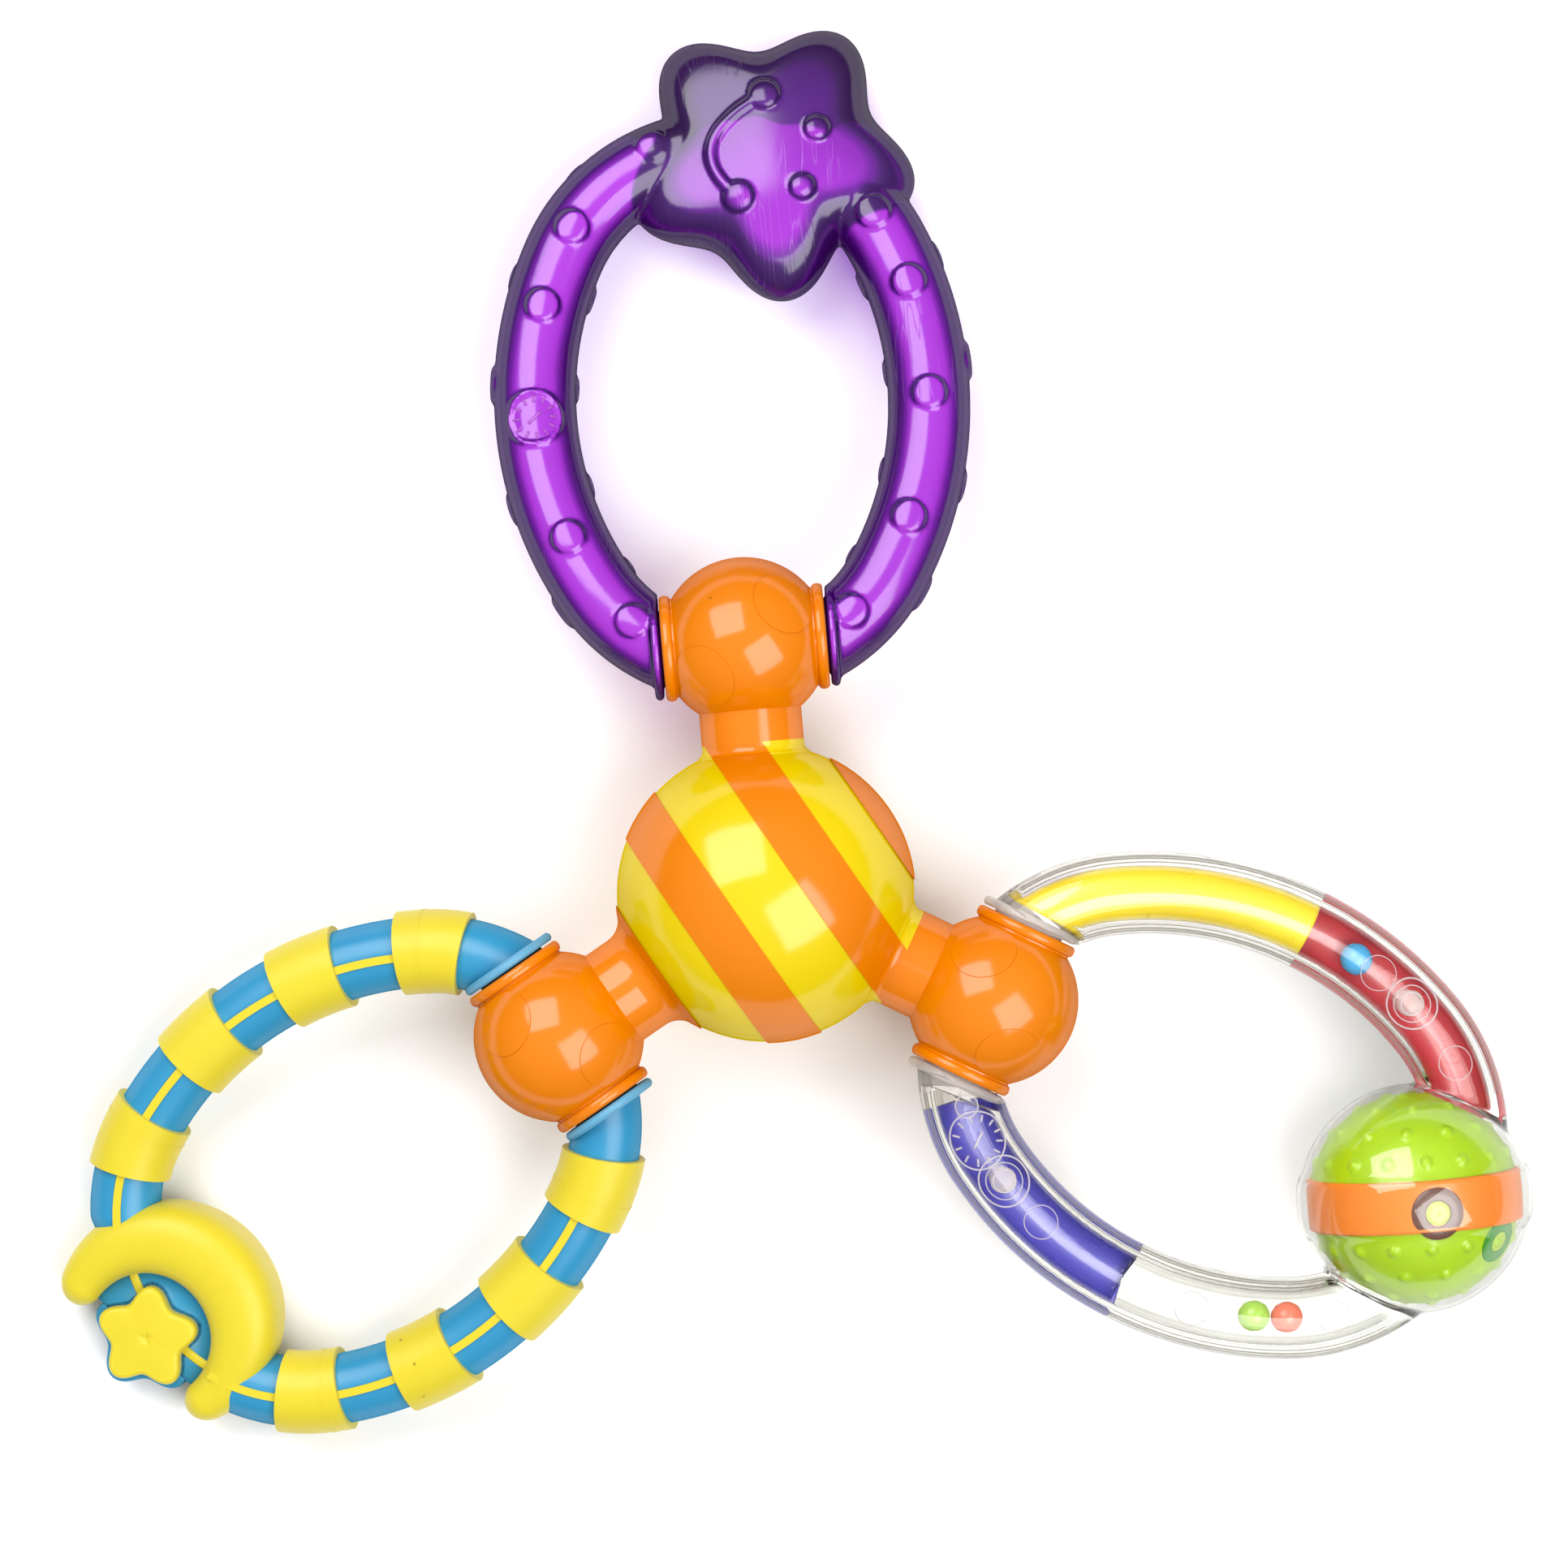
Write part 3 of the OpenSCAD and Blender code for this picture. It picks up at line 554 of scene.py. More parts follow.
def frosted(name, color, keep, rough=0.25):
    """Milky clear plastic: part of the light goes straight through."""
    t = Tree(name)
    col = t.mix(t.noise(80, 3), color, (color[0] * 0.9, color[1] * 0.88, color[2] * 0.86, 1))
    r = t.math("ADD", rough, t.math("MULTIPLY", t.noise(200, 3), 0.15))
    body = t.shader(col, r, t.bump(t.noise(120, 3), 0.15, 0.0002), IOR=1.5)
    clear = t.add("ShaderNodeBsdfTransparent")
    clear.inputs["Color"].default_value = rgb(250, 247, 244)
    m = t.add("ShaderNodeMixShader")
    t.put(m.inputs[0], t.ramp(t.facing(), (0.0, keep), (0.7, min(1.0, keep + 0.35))))
    t.put(m.inputs[1], clear.outputs[0])
    t.put(m.inputs[2], body)
    return t.done(lamps_pass(t, m.outputs[0], rgb(240, 238, 236)))


def film(name, color, shade):
    """A thin coloured lining, satin and slightly see-through."""
    t = Tree(name)
    col = t.mix(t.ramp(t.noise(60, 3), (0.35, 0.0), (0.7, 1.0)), color, shade)
    r = t.math("ADD", 0.22, t.math("MULTIPLY", t.noise(200, 3), 0.15))
    return t.done(t.shader(col, r, t.bump(t.noise(150, 3), 0.12, 0.0002), IOR=1.75))


ORANGE = gloss("hub_orange", paint(255, 142, 0), paint(255, 130, 0))
YELLOW = gloss("hub_yellow", paint(255, 226, 0), paint(248, 212, 0), specks=False)
PURPLE = purple_skin()
WATER = inner_purple("water_edge", rgb(226, 150, 245), rgb(90, 10, 130))
BLUE = gloss("ring_blue", paint(52, 164, 214), paint(28, 146, 204), rough=0.32, marks=0.3)
SOFT_YELLOW = soft("soft_yellow", paint(250, 230, 48), paint(243, 218, 36))
CLEAR = clear_plastic()
FROSTED = frosted("clear_flange", paint(236, 226, 222), 0.42)
SEAM = frosted("clear_seam", paint(196, 194, 182), 0.5, 0.3)
MARKS = frosted("clear_marks", paint(246, 240, 246), 0.38, 0.15)
PURPLE_MARKS = frosted("teether_marks", paint(214, 110, 240), 0.5, 0.12)
PALE_BLUE = gloss("ring_flange_blue", paint(112, 186, 226), paint(96, 176, 220), rough=0.3, marks=0.3)
TUBE_YELLOW = film("tube_yellow", paint(250, 222, 14), paint(240, 205, 8))
RED = film("lining_red", paint(214, 52, 62), paint(192, 40, 54))
VIOLET = film("lining_violet", paint(78, 70, 190), paint(64, 58, 176))
GREEN = gloss("planet_green", paint(168, 204, 6), paint(150, 192, 0), rough=0.22)
BAND = gloss("planet_band", paint(240, 132, 36), paint(228, 116, 24), rough=0.22)
DARK_SPOT = gloss("spot_brown", paint(104, 66, 54), paint(84, 50, 42), rough=0.25)
GREEN_SPOT = gloss("spot_green", paint(52, 142, 14), paint(40, 126, 10), rough=0.25)
LIME = gloss("spot_lime", paint(178, 205, 50), paint(164, 192, 40), rough=0.25)
BEADS = {"bead_blue": gloss("bead_blue", paint(70, 170, 225), paint(56, 156, 214), rough=0.2),
         "bead_green": gloss("bead_green", paint(170, 212, 82), paint(156, 200, 70), rough=0.2),
         "bead_coral": gloss("bead_coral", paint(240, 124, 96), paint(230, 108, 84), rough=0.2)}


# ---------- striped ball: the CAD solids, with better materials ----------
def finish_cad(node, mat):
    """Gives a CAD solid a material and leaves its mesh alone."""
    me = NODES[node].data
    me.materials.clear()
    me.materials.append(mat)


for n in NODES:
    if n.startswith("hub_"):
        finish_cad(n, ORANGE)
    elif "stripe" in n:
        finish_cad(n, YELLOW)
    elif n.startswith(("band_", "runner_")):
        finish_cad(n, SOFT_YELLOW)
    elif n in BEADS:
        finish_cad(n, BEADS[n])


def arm_frame(a):
    """Rotation that takes +X to an arm's direction, at angle a about the vertical."""
    return np.array([[math.cos(a), -math.sin(a), 0], [math.sin(a), math.cos(a), 0], [0, 0, 1.0]])


def collar_lips():
    """A rounded lip round the mouth of each hinge collar."""
    t = np.linspace(0, 2 * math.pi, 20, endpoint=False)
    parts = []
    for joint in ("teether_hinge", "moon_hinge", "clear_hinge"):
        at = np.array(JOINTS[joint]["pos_m"]) / MM
        rot = arm_frame(math.atan2(at[1], at[0]))
        for side in (-1, 1):
            rows = [(COLLAR_MOUTH + 0.42 * math.cos(a), side * (COLLAR_END + 0.66 * math.sin(a)))
                    for a in t[::side]]
            lon = np.linspace(0, 2 * math.pi, 120, endpoint=False)
            pts = np.stack([np.stack([r * np.sin(lon), h + 0 * lon, r * np.cos(lon)], -1) for r, h in rows])
            v, f = grid(pts, close_u=True, caps=False)
            parts.append((v @ rot.T + at, f))
    return parts


piece("collar_lips", "hub", collar_lips(), ORANGE)


def hinge_end(side):
    """A pin with its head, and the flange with rounded edges."""
    h = [(AXIS_R, HEAD_FROM), (HEAD_R, HEAD_FROM), (HEAD_R, HEAD_TO - 0.05), (PIN_R, HEAD_TO),
         (PIN_R, FLANGE_IN), (FLANGE_R - 0.3, FLANGE_IN), (FLANGE_R, FLANGE_IN + 0.3),
         (FLANGE_R, FLANGE_OUT - 0.35), (FLANGE_R - 0.35, FLANGE_OUT), (AXIS_R, FLANGE_OUT)]
    dense = []
    for (r0, h0), (r1, h1) in zip(h, h[1:]):
        dense += [(r0 + (r1 - r0) * k / 4, h0 + (h1 - h0) * k / 4) for k in range(4)]
    v, f = lathe(dense + [h[-1]], axis="y")
    v = v * np.array([1, side, 1])
    return v, f


# ---------- teether ----------
DOT_R, DOT_H = 2.3, 0.5
# Rows of buttons: the angle round the tube (0 is outward, 90 is up), and places along the oval
DOT_ROWS = [(90, [22.1, 32.7, 62.8, 76.1]), (90, [-22.2, -32.1, -46.5, -62.4, -76.4]),
            (-90, [16, 27, 38, 49, 60, 71]), (-90, [-16, -27, -38, -49, -60, -71]),
            (0, [41.9, -41.9]), (-24, [16, 29, 56, 69, -16, -29, -56, -69]),
            (204, [29, 42, 56, 69, -29, -42, -56, -69])]
DIAL_S, DIAL_R = 47.1, 3.5


def teether_radius(s, th):
    """The teether tube's radius, with its round buttons and the rim of its dial."""
    r = np.full(np.broadcast(s, th).shape, TEETHER_R)
    for angle, spots in DOT_ROWS:
        turn = (th - math.radians(angle) + math.pi) % (2 * math.pi) - math.pi
        for s0 in spots:
            d = np.hypot(s - s0, turn * TEETHER_R)
            r = r + disc_bump(d, DOT_R, DOT_H)
    turn = (th - math.pi / 2 + math.pi) % (2 * math.pi) - math.pi
    d = np.hypot(s - DIAL_S, turn * TEETHER_R)
    ring = smooth_step(DIAL_R - 0.6, DIAL_R - 0.3, d) - smooth_step(DIAL_R - 0.1, DIAL_R + 0.2, d)
    return r + 0.4 * ring


def star_relief(x, y):
    """The star's simple face: two round eyes and a curved mouth with round ends."""
    def dome(px, py, r, h):
        d = np.hypot(x - px, y - py)
        return h * np.sqrt(np.clip(1 - (d / r) ** 2, 0, 1)) ** 0.8
    ends = np.array([(6.75, 0.34), (-6.2, 4.2)])
    mid = np.array([0.6, 7.2])
    out = np.maximum(dome(*ends[0], 2.0, 0.9), dome(*ends[1], 2.0, 0.9))
    out = np.maximum(out, np.maximum(dome(2.0, -6.0, 1.65, 0.8), dome(-5.4, -3.8, 1.65, 0.8)))
    t = np.linspace(0, 1, 40)
    ctrl = 2 * mid - (ends[0] + ends[1]) / 2
    line = (1 - t)[:, None] ** 2 * ends[0] + 2 * (t * (1 - t))[:, None] * ctrl + t[:, None] ** 2 * ends[1]
    d = np.min(np.hypot(x[..., None] - line[:, 0], y[..., None] - line[:, 1]), -1)
    return np.maximum(out, 0.55 * np.sqrt(np.clip(1 - (d / 0.75) ** 2, 0, 1)))


def ridge_on_tube(s0, plan, tube_r, r, closed=False):
    """A thin raised line on top of a tube. plan holds points (along, across) from the place s0."""
    plan = np.array(plan, float)
    p, nrm = along(s0 + plan[:, 0])
    a = math.pi / 2 - plan[:, 1] / tube_r
    radial = nrm * np.cos(a)[:, None] + UP * np.sin(a)[:, None]
    mid = p + radial * tube_r
    if closed:
        way = np.roll(mid, -1, 0) - np.roll(mid, 1, 0)
    else:
        way = np.vstack([mid[1:], mid[-1:]]) - np.vstack([mid[:1], mid[:-1]])
    way /= np.linalg.norm(way, axis=1)[:, None]
    across = np.cross(way, radial)
    t = np.linspace(0, 2 * math.pi, 8, endpoint=False)
    cos_t, sin_t = np.cos(t)[None, :, None], np.sin(t)[None, :, None]
    pts = mid[:, None] + r * (radial[:, None] * cos_t + across[:, None] * sin_t)
    return grid(pts, close_u=closed, caps=not closed)


def ring_plan(r, n=48):
    """The plan of a ring of radius r, for ridge_on_tube."""
    a = np.linspace(0, 2 * math.pi, n, endpoint=False)
    return np.stack([r * np.cos(a), r * np.sin(a)], -1)


def dial_marks(s0, tube_r, r_in, r_out, r):
    """A clock-like ring of plain ticks round a short bar."""
    def spoke(turn, start, end, n):
        return [(a * math.cos(turn), a * math.sin(turn)) for a in np.linspace(start, end, n)]
    ticks = [ridge_on_tube(s0, spoke(q, r_in, r_out, 4), tube_r, r) for q in np.arange(12) * math.pi / 6]
    return ticks + [ridge_on_tube(s0, spoke(0.9, -1.1, 1.1, 6), tube_r, r * 1.3)]


STAR_C = STAR_AT[0] * math.cos(TEETHER_LEAN) + STAR_AT[1] * math.sin(TEETHER_LEAN)
LENS_R = (STAR_TIP ** 2 + 3.8 ** 2) / (2 * 3.8)


def star_height(inset):
    """Half the star's thickness at a distance from its middle: a shallow dome, inset all over."""
    return lambda rr: STAR_T - inset - rr ** 2 / (2 * LENS_R)


s_all = np.arange(-ALL_LEN, ALL_LEN, 0.3)
tube_v, tube_f = sweep(s_all, teether_radius, 112)
tube_v = clamp_ends(tube_v, FLANGE_IN + 0.1)
star = pillow_star(STAR_AT, STAR_TIP, STAR_VALLEY, star_height(0), 4.4, rings=110, n=360, relief=star_relief)
top_p, top_n = along(8.0)
button_v, button_f = ball(1, (0, 0, 0), 64)
button_v = button_v * [2.35, 2.35, 1.1] + top_p[0] + 1.0 * top_n[0] + [0, 0, 4.45]  # low, beside the star
button = (lean(button_v), button_f)
skin = fused([(lean(tube_v), tube_f), (lean(star[0]), star[1]), button, hinge_end(1), hinge_end(-1)],
             0.27, 2)


def teether_marks(v):
    """Where painted shade darkens the star, most where its wall is steep inside the rim, and where the bubble
    lies, for the purple skin.
    """
    c, w = math.cos(TEETHER_LEAN), math.sin(TEETHER_LEAN)
    x = v[:, 0] * c - v[:, 1] * w - STAR_AT[0]
    y = v[:, 0] * w + v[:, 1] * c - STAR_AT[1]
    rim = star_radius(np.arctan2(y, x), STAR_TIP, STAR_VALLEY) - np.hypot(x, y)
    # Painted shade: some over the whole star, most within a few millimetres of its rim.
    painted_shade = (0.36 + 0.64 * (1 - smooth_step(2.2, 7.0, rim))) * smooth_step(-0.5, 0.7, rim)
    shore = 2.8 + 0.9 * np.sin(y * 0.33 + 0.6) + 0.25 * np.sin(y * 1.1)
    return {"painted_shade": painted_shade, "air": smooth_step(-0.15, 0.15, x - shore)}


piece("teether_skin", "teether_loop", [skin], PURPLE, ["teether_shell"], "teether_loop",
      teether_marks(skin[0]))
dial = dial_marks(DIAL_S, TEETHER_R + 0.05, 1.9, 2.8, 0.17)
piece("teether_dial", "teether_loop", [(lean(v), f) for v, f in dial], PURPLE_MARKS, (),
      "teether_loop")

core_v, core_f = sweep(np.arange(-ALL_LEN + 4, ALL_LEN - 4, 1.0), plain(TEETHER_R - TEETHER_WALL), 48)
core_star = pillow_star(STAR_AT, STAR_TIP - 1.9, STAR_VALLEY - 1.9, star_height(1.6), 3.6)
core = fused([(lean(clamp_ends(core_v, 13.2)), core_f), (lean(core_star[0]), core_star[1])], 0.5, 4)
core = (np.minimum(core[0], [STAR_C + 3.0, 99, 99]), core[1])
piece("teether_fluid", "teether_loop", [core], WATER, ["teether_water"], "teether_loop")


# ---------- moon ring ----------
def blue_radius(s, th):
    """The blue tube's radius along the oval."""
    tucked = 1 - smooth_step(RING_STOP, RING_STOP + 3.5, np.abs(s))  # thinner where the moon hides it
    return TUBE_R - 1.2 * tucked + 0 * th


parts = []
for side in (-1, 1):
    v, f = sweep(side * np.arange(RING_STOP, ALL_LEN, 0.5), blue_radius, 96)
    parts.append((clamp_ends(v, FLANGE_IN + 0.1), f if side > 0 else [q[::-1] for q in f]))
piece("ring_flanges", "moon_loop", [hinge_end(1), hinge_end(-1)], PALE_BLUE, (), "moon_loop")


def slab_star(at, turn, tip, valley, z0, z1, edge, dome=0.0, n=200, dimple=0.0):
    """A flat-topped five-lobed star with rounded upper and lower edges."""
    t = np.linspace(0, 2 * math.pi, n, endpoint=False)
    rho = (tip + valley) / 2 + (tip - valley) / 2 * np.cos(5 * (t - turn))
    rows = []
    arc = np.linspace(0, math.pi / 2, 9)
    inner = np.linspace(0.02, 1, 16)
    prof = [(k, 0, z0) for k in inner]
    prof += [(1, edge * math.sin(a), z0 + edge * (1 - math.cos(a))) for a in arc]
    prof += [(1, edge * math.cos(a), z1 - edge * (1 - math.sin(a))) for a in arc]
    prof += [(k, 0, z1) for k in inner[::-1]]
    for k, grow, z in prof:
        r = (rho - edge) * k + grow
        up = dome * (1 - k * k) - dimple * math.exp(-(k * tip / 0.7) ** 2) if z > (z0 + z1) / 2 else 0
        rows.append(np.stack([at[0] + r * np.cos(t), at[1] + r * np.sin(t), 0 * t + z + up], -1))
    return grid(np.array(rows))


def plate_web():
    """The round part of the plate that runs into the moon."""
    r = HOLLOW_R + 1.4
    prof = [(0.01, -PLATE_T), (r, -PLATE_T), (r, PLATE_T), (0.01, PLATE_T)]
    v, f = lathe(prof, 80, "z", (HOLLOW[0], HOLLOW[1], 0))
    u = np.array([math.cos(MOON_OPEN), math.sin(MOON_OPEN)])
    over = np.maximum((v[:, :2] - HOLLOW) @ u - 1.0, 0)
    v[:, :2] -= over[:, None] * u
    return v, f


def runner_stub(s0, s1):
    """The runner line where it crosses the plate."""
    p, nrm = along(np.linspace(s0, s1, 10))
    w, top = 0.55, PLATE_T + 0.28
    low = PLATE_T - 0.4
    sec = [(-w, low), (w, low), (w, top - 0.12), (w - 0.15, top), (0.15 - w, top), (-w, top - 0.12)]
    return grid(across_line(p, nrm, sec))


parts.append(slab_star(HOLLOW, MOON_OPEN, BUTTON_TIP + PLATE_RIM, BUTTON_VALLEY + PLATE_RIM,
                       -PLATE_T, PLATE_T, 0.5))
parts.append(plate_web())
piece("ring_tube", "moon_loop", parts, BLUE, ["moon_ring"], "moon_loop")
piece("button_star", "moon_loop",
      [slab_star(HOLLOW, MOON_OPEN, BUTTON_TIP, BUTTON_VALLEY, PLATE_T - 0.3, PLATE_T + BUTTON_H, 0.7, 0.15,
                 dimple=0.3)],
      SOFT_YELLOW, ["star_button"], "moon_loop")
piece("runner_stubs", "moon_loop", [runner_stub(4.2, 10), runner_stub(-8, -2.4)], SOFT_YELLOW,
      (), "moon_loop")


def crescent():
    """The plump moon: rounded sections between its hollow and its outer circle, with round horns."""
    reach = math.pi - HORN_TURN + math.asin(HORN_R / (HOLLOW_R + HORN_R))
    a = math.pi + np.linspace(-reach, reach, 220)
    r_out = MOON_SHIFT * np.cos(a - math.pi) + np.sqrt(MOON_R ** 2 - (MOON_SHIFT * np.sin(a)) ** 2)
    half = (r_out - HOLLOW_R) / 2
    mid = HOLLOW_R + half
    arc = np.concatenate([[0], np.cumsum(np.diff(a) * (mid[1:] + mid[:-1]) / 2)])
    end = np.clip(np.minimum(arc, arc[-1] - arc) / HORN_R, 0, 1)
    taper = np.sqrt(np.maximum(1 - (1 - end) ** 2, 0.0004))
    ang = a + MOON_OPEN
    lens = HOLLOW - MOON_LENS_SHIFT * np.array([math.cos(MOON_OPEN), math.sin(MOON_OPEN)])
    spot = HOLLOW + mid[:, None] * np.stack([np.cos(ang), np.sin(ang)], -1)
    lens_d = np.linalg.norm(spot - lens, axis=1)
    tall = MOON_T - MOON_LENS_R + np.sqrt(MOON_LENS_R ** 2 - lens_d ** 2)
    h = tall * taper ** 0.7
    th = np.linspace(0, 2 * math.pi, 64, endpoint=False)
    cx, sx = np.cos(th), np.sin(th)
    px = np.sign(cx) * np.abs(cx) ** 0.85
    pz = np.sign(sx) * np.abs(sx) ** 0.62
    r = mid[:, None] + (half * taper)[:, None] * px
    pts = np.stack([HOLLOW[0] + r * np.cos(ang)[:, None], HOLLOW[1] + r * np.sin(ang)[:, None],
                    h[:, None] * pz], -1)
    return grid(pts)


piece("crescent", "moon_loop", [crescent()], SOFT_YELLOW, ["moon"], "moon_loop")


# ---------- clear ring ----------
# Along the planet's band, and square to the band's plane
BAND_ALONG = np.array([math.cos(BAND_TURN), math.sin(BAND_TURN), 0])
BAND_AXIS = np.array([-math.sin(BAND_TURN), math.cos(BAND_TURN), 0])


def band_side(d):
    """How far a direction from the planet's middle is from the band's plane, as a sine."""
    return -d[..., 0] * math.sin(BAND_TURN) + d[..., 1] * math.cos(BAND_TURN)


def dome_warp(d):
    """The dome stands a little prouder over the planet's band."""
    return 0.45 * (1 - smooth_step(0.20, 0.30, np.abs(band_side(d))))


v, f = sweep(np.arange(-ALL_LEN, ALL_LEN, 0.4), plain(CLEAR_R), 96)
outer = fused([(clamp_ends(v, FLANGE_IN + 0.1), f), ball(DOME_R, PLANET, 160, dome_warp)],
              0.3, 3)
v, f = sweep(np.arange(-ALL_LEN + 3, ALL_LEN - 3, 0.4), plain(CHANNEL_R), 64)
inner = fused([(clamp_ends(v, 12.4), f), ball(DOME_R - 0.4, PLANET, 160, dome_warp)],
              0.32, 3)
outer, inner = fix_normals(*outer), fix_normals(*inner, inward=True)
from_planet = np.linalg.norm(np.vstack([outer[0], inner[0]]) - PLANET, axis=1)
on_dome = 1 - smooth_step(DOME_R + 0.6, DOME_R + 1.4, from_planet)
piece("clear_body", "clear_loop", [outer, inner], CLEAR,
      ["clear_front_shell", "clear_back_shell"], "clear_loop", {"thin": on_dome})


SEAM_STOP = 12


def seam_strip(side, u0, u1):
    """The weld between the ring's two halves, seen through its wall."""
    p, nrm = along(side * np.linspace(14.5, ALL_LEN - 4, 150))
    v, f = grid(across_line(p, nrm, [(u0, -0.12), (u1, -0.12), (u1, 0.12), (u0, 0.12)]))
    near = np.abs(v[:, 1]) <= SEAM_STOP
    v[near, 1] = np.sign(v[near, 1]) * SEAM_STOP
    return v, f


# The two edges of the weld, at their distances from the centreline, on its outer and inner side
SEAM_EDGES = ((4.76, 5.0), (3.5, 3.62), (-5.0, -4.76), (-3.62, -3.5))
piece("clear_seams", "clear_loop", [seam_strip(side, u0, u1) for side in (-1, 1) for u0, u1 in SEAM_EDGES],
      SEAM, (), "clear_loop")
piece("clear_flanges", "clear_loop", [hinge_end(1), hinge_end(-1)], FROSTED,
      (), "clear_loop")
# Places along the oval: positive on the red lining's side
PEGS = (28.86, -66.3)
CLEAR_DIAL = -72.3
RED_FROM, RED_TO, TUBE_FROM = 12.0, 44.12, 44.25
VIOLET_FROM, VIOLET_TO = -46.4, -77.0
# Thin moulded rings: place, radius and half thickness
RINGS = [(19.7, 2.1, 0.07), (-37.8, 2.1, 0.07), (-19.9, 2.0, 0.08), (-59.5, 2.1, 0.07), (-76.7, 1.4, 0.09)]
RINGS += [(s0, r, w) for s0 in PEGS for r, w in ((3.2, 0.12), (2.3, 0.08), (1.4, 0.11))]
RINGS += [(CLEAR_DIAL, 3.6, 0.12), (34.5, 2.2, 0.06)]
piece("clear_marks", "clear_loop",
      [ridge_on_tube(s0, ring_plan(r), CLEAR_R, w, True) for s0, r, w in RINGS]
      + dial_marks(CLEAR_DIAL, CLEAR_R, 2.3, 3.2, 0.14), MARKS, (), "clear_loop")
v, f = sweep(np.arange(TUBE_FROM, ALL_LEN - 2, 0.5), plain(CHANNEL_R - 0.06), 64)
piece("lining_tube", "clear_loop", [(clamp_ends(v, 12.0), f)], TUBE_YELLOW, ["yellow_tube"],
      "clear_loop")


def peg(s0):
    """A clear peg across the channel."""
    p, _ = along(s0)
    r, h = PEG_R, CHANNEL_R
    prof = [(AXIS_R, -h), (r - 0.15, -h), (r, 0.2 - h), (r, h - 0.2), (r - 0.15, h), (AXIS_R, h)]
    return lathe(prof, 32, "z", p[0])


piece("clear_pegs", "clear_loop", [peg(s0) for s0 in PEGS], FROSTED, (), "clear_loop")


LINING_R, LIP_FROM, LIP_TO = 3.3, 3.6, 4.35


def lining(s0, s1, wave=0.0):
    """A half-round lining with flat lips that lie between the ring's two halves."""
    p, nrm = along(np.linspace(s0, s1, 120))
    th = np.linspace(math.pi, 2 * math.pi, 24)
    line = [(-LIP_TO, -0.05), (-LIP_FROM, -0.05)]
    line += [(LINING_R * math.cos(a), LINING_R * math.sin(a)) for a in th]
    line += [(LIP_FROM, -0.05), (LIP_TO, -0.05)]
    on_lip = LINING_R - 0.05
    sec = line + [(x * 0.985, z - 0.18 if abs(x) > on_lip else z * 0.93) for x, z in line[::-1]]
    pts = across_line(p, nrm, sec)
    if wave:
        tang = np.cross(nrm, UP)
        rip = wave * np.sin(np.arange(len(sec)) * 1.9) + wave * 0.6 * np.sin(np.arange(len(sec)) * 4.3)
        end = 0 if abs(s0) < abs(s1) else -1
        pts[end] += tang[end] * rip[:, None]
    return grid(pts)


piece("red_lining", "clear_loop", [lining(RED_FROM, RED_TO)], RED, ["red_liner"], "clear_loop")
piece("violet_lining", "clear_loop", [lining(VIOLET_FROM, VIOLET_TO, 0.3)], VIOLET,
      ["violet_liner"], "clear_loop")


def ball_bumps(d):
    """Small raised buds in rows on both sides of the planet's band."""
    h = np.zeros(d.shape[:2])
    for lat, count, phase in ((24, 16, 0), (42, 12, 11), (61, 8, 4), (78, 4, 20)):
        for sign in (-1, 1):
            for k in range(count):
                lon = math.radians(360 / count * k + phase * sign)
                b = math.radians(lat)
                c = sign * math.sin(b) * BAND_AXIS
                c = c + math.cos(b) * (math.cos(lon) * BAND_ALONG + math.sin(lon) * UP)
                dist = np.arccos(np.clip(d @ c, -1, 1)) * BALL_R
                h = h + 0.42 * (1 - smooth_step(0.25, 1.0, dist))
    return h


v, f = ball(BALL_R, PLANET, 320, ball_bumps)
v[:, 1] = np.clip(v[:, 1], -BALL_FLAT, BALL_FLAT)  # flat where the channels reach it
piece("planet_ball", "clear_loop", [(v, f)], GREEN, ["planet_front", "planet_back"],
      "clear_loop")


def planet_belt():
    """The crowned band round the planet."""
    lon = np.linspace(0, 2 * math.pi, 200, endpoint=False)
    w = BAND_HALF
    prof = [(-w, 12.4), (-w, BELT_R - 0.3), (-w + 0.2, BELT_R - 0.1)]
    prof += [(x, math.sqrt(BELT_R ** 2 - 0.3 * x * x)) for x in np.linspace(-w + 0.5, w - 0.5, 12)]
    prof += [(w - 0.2, BELT_R - 0.1), (w, BELT_R - 0.3), (w, 12.4)]
    round_it = np.cos(lon)[:, None] * BAND_ALONG + np.sin(lon)[:, None] * UP
    rows = [PLANET + BAND_AXIS * x + r * 0.98 * round_it for x, r in prof]
    return grid(np.array(rows), close_u=True, caps=False)


piece("planet_belt", "clear_loop", [planet_belt()], BAND, ["planet_band"], "clear_loop")


def ball_patch(x, y, r0, r1, low, high):
    """A round or ring-shaped raised patch on the planet's front, centred over (x, y)."""
    c = np.array([x, y, math.sqrt(SPOT_R ** 2 - x * x - y * y)]) / SPOT_R
    e1 = np.cross(c, [0, 1.0, 0])
    e1 /= np.linalg.norm(e1)
    e2 = np.cross(c, e1)
    t = np.linspace(0, 2 * math.pi, 96, endpoint=False)
    rows = []
    for r, h in ((r0, low), (r0, high - 0.08), (r0 + 0.1, high), ((r0 + r1) / 2, high), (r1 - 0.1, high),
                 (r1, high - 0.08), (r1, low)):
        a = r / SPOT_R
        d = c * math.cos(a) + math.sin(a) * (np.cos(t)[:, None] * e1 + np.sin(t)[:, None] * e2)
        rows.append(PLANET + d * h)
    return grid(np.array(rows), close_u=r0 > 0.05, caps=r0 <= 0.05)


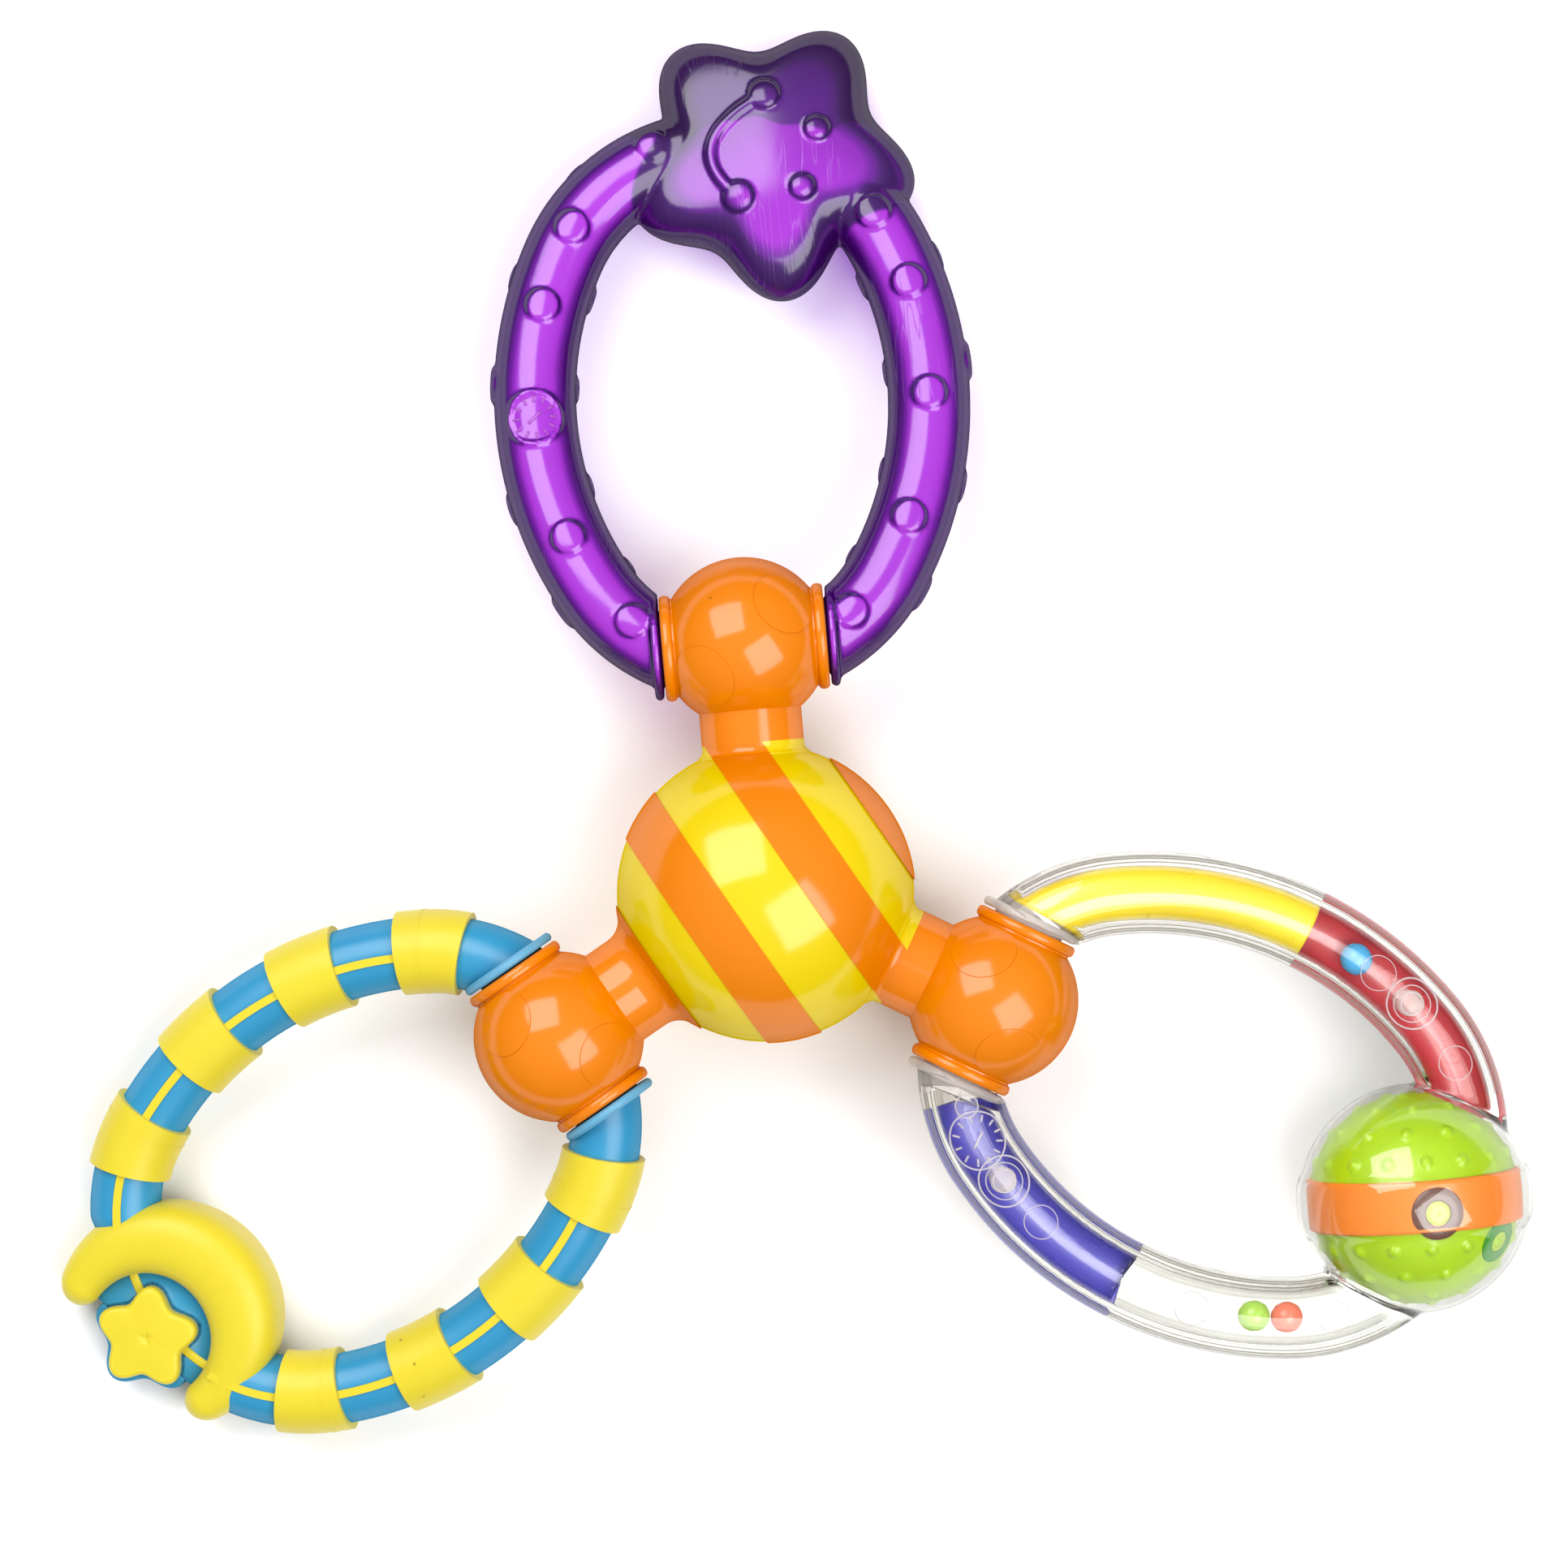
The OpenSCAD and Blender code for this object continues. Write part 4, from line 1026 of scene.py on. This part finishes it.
BROWN_AT, GREEN_AT = (1.1, -0.3), (10.3, -0.3)
piece("spot_brown_ring", "clear_loop", [ball_patch(*BROWN_AT, 1.5, 3.2, 13.1, 13.47)], DARK_SPOT,
      (), "clear_loop")
piece("spot_green_ring", "clear_loop", [ball_patch(*GREEN_AT, 1.35, 2.9, 12.7, 13.2)], GREEN_SPOT,
      (), "clear_loop")
piece("spot_centres", "clear_loop",
      [ball_patch(*BROWN_AT, 0.02, 1.5, 13.1, 13.45), ball_patch(*GREEN_AT, 0.02, 1.35, 12.7, 13.18)],
      LIME, (), "clear_loop")


# ---------- floor, light and camera ----------
def floor():
    """The plain pale surface that the rattle lies on."""
    t = Tree("floor_pale")
    col = t.mix(t.noise(3, 2), (0.86, 0.86, 0.86, 1), (0.88, 0.88, 0.88, 1))
    me = to_mesh("floor", [(-3, -3, 0), (3, -3, 0), (3, 3, 0), (-3, 3, 0)], [(0, 1, 2, 3)])
    ob = bpy.data.objects.new("floor", me)
    bpy.context.scene.collection.objects.link(ob)
    me.materials.append(t.done(t.shader(col, 0.9, Specular_IOR_Level=0.1)))


floor()
TILT = math.radians(-4.8)  # the picture's turn about the vertical


def picture(x, y, z):
    """A direction given across and up the picture, in the row's frame."""
    c, s = math.cos(TILT), math.sin(TILT)
    return np.array([x * c - y * s, x * s + y * c, z])


def aim(ob, target, roll=0.0):
    """Points a lamp at a target, turned about its own axis by roll."""
    q = Vector(np.array(target) - np.array(ob.location)).to_track_quat("-Z", "Y")
    ob.rotation_euler = q.to_euler()
    ob.rotation_euler.rotate_axis("Z", roll)


AIM = np.array([0.0034, 0.0132, 0.018])


def softbox(name, direction, width, power, far=1.0, roll=0.0):
    """A square soft lamp, far metres from the rattle's middle."""
    d = picture(*direction)
    li = bpy.data.lights.new(name, "AREA")
    li.shape = "SQUARE"
    li.size = width
    li.energy = power
    ob = bpy.data.objects.new(name, li)
    bpy.context.scene.collection.objects.link(ob)
    ob.location = AIM + d / np.linalg.norm(d) * far
    aim(ob, AIM, roll)


softbox("softbox_left", (-0.376, 0.508, 0.767), 0.76, 9.6, roll=-0.40)
softbox("softbox_right", (0.44, -0.288, 0.843), 0.76, 9.2, roll=-0.42)

world = bpy.data.worlds.new("world")
world.use_nodes = True
sky = world.node_tree
up = sky.nodes.new("ShaderNodeSeparateXYZ")
sky.links.new(sky.nodes.new("ShaderNodeTexCoord").outputs["Generated"], up.inputs[0])
glow = sky.nodes.new("ShaderNodeMapRange")  # darker towards the horizon, as a room round softboxes is
sky.links.new(up.outputs["Z"], glow.inputs["Value"])
glow.inputs["To Min"].default_value = 0.12
glow.inputs["To Max"].default_value = 0.70
sky.nodes["Background"].inputs["Color"].default_value = (1, 1, 1, 1)
sky.links.new(glow.outputs["Result"], sky.nodes["Background"].inputs["Strength"])
bpy.context.scene.world = world
bpy.context.scene.view_settings.view_transform = "Standard"

cam = bpy.data.cameras.new("camera")
cam_ob = bpy.data.objects.new("camera", cam)
bpy.context.scene.collection.objects.link(cam_ob)
FAR, ACROSS = 0.9, 0.1932
cam.sensor_width = 36
cam.lens = 36 * FAR / ACROSS
cam_ob.location = AIM + np.array([0, 0, FAR])
cam_ob.rotation_euler = (0, 0, TILT)
bpy.context.scene.camera = cam_ob
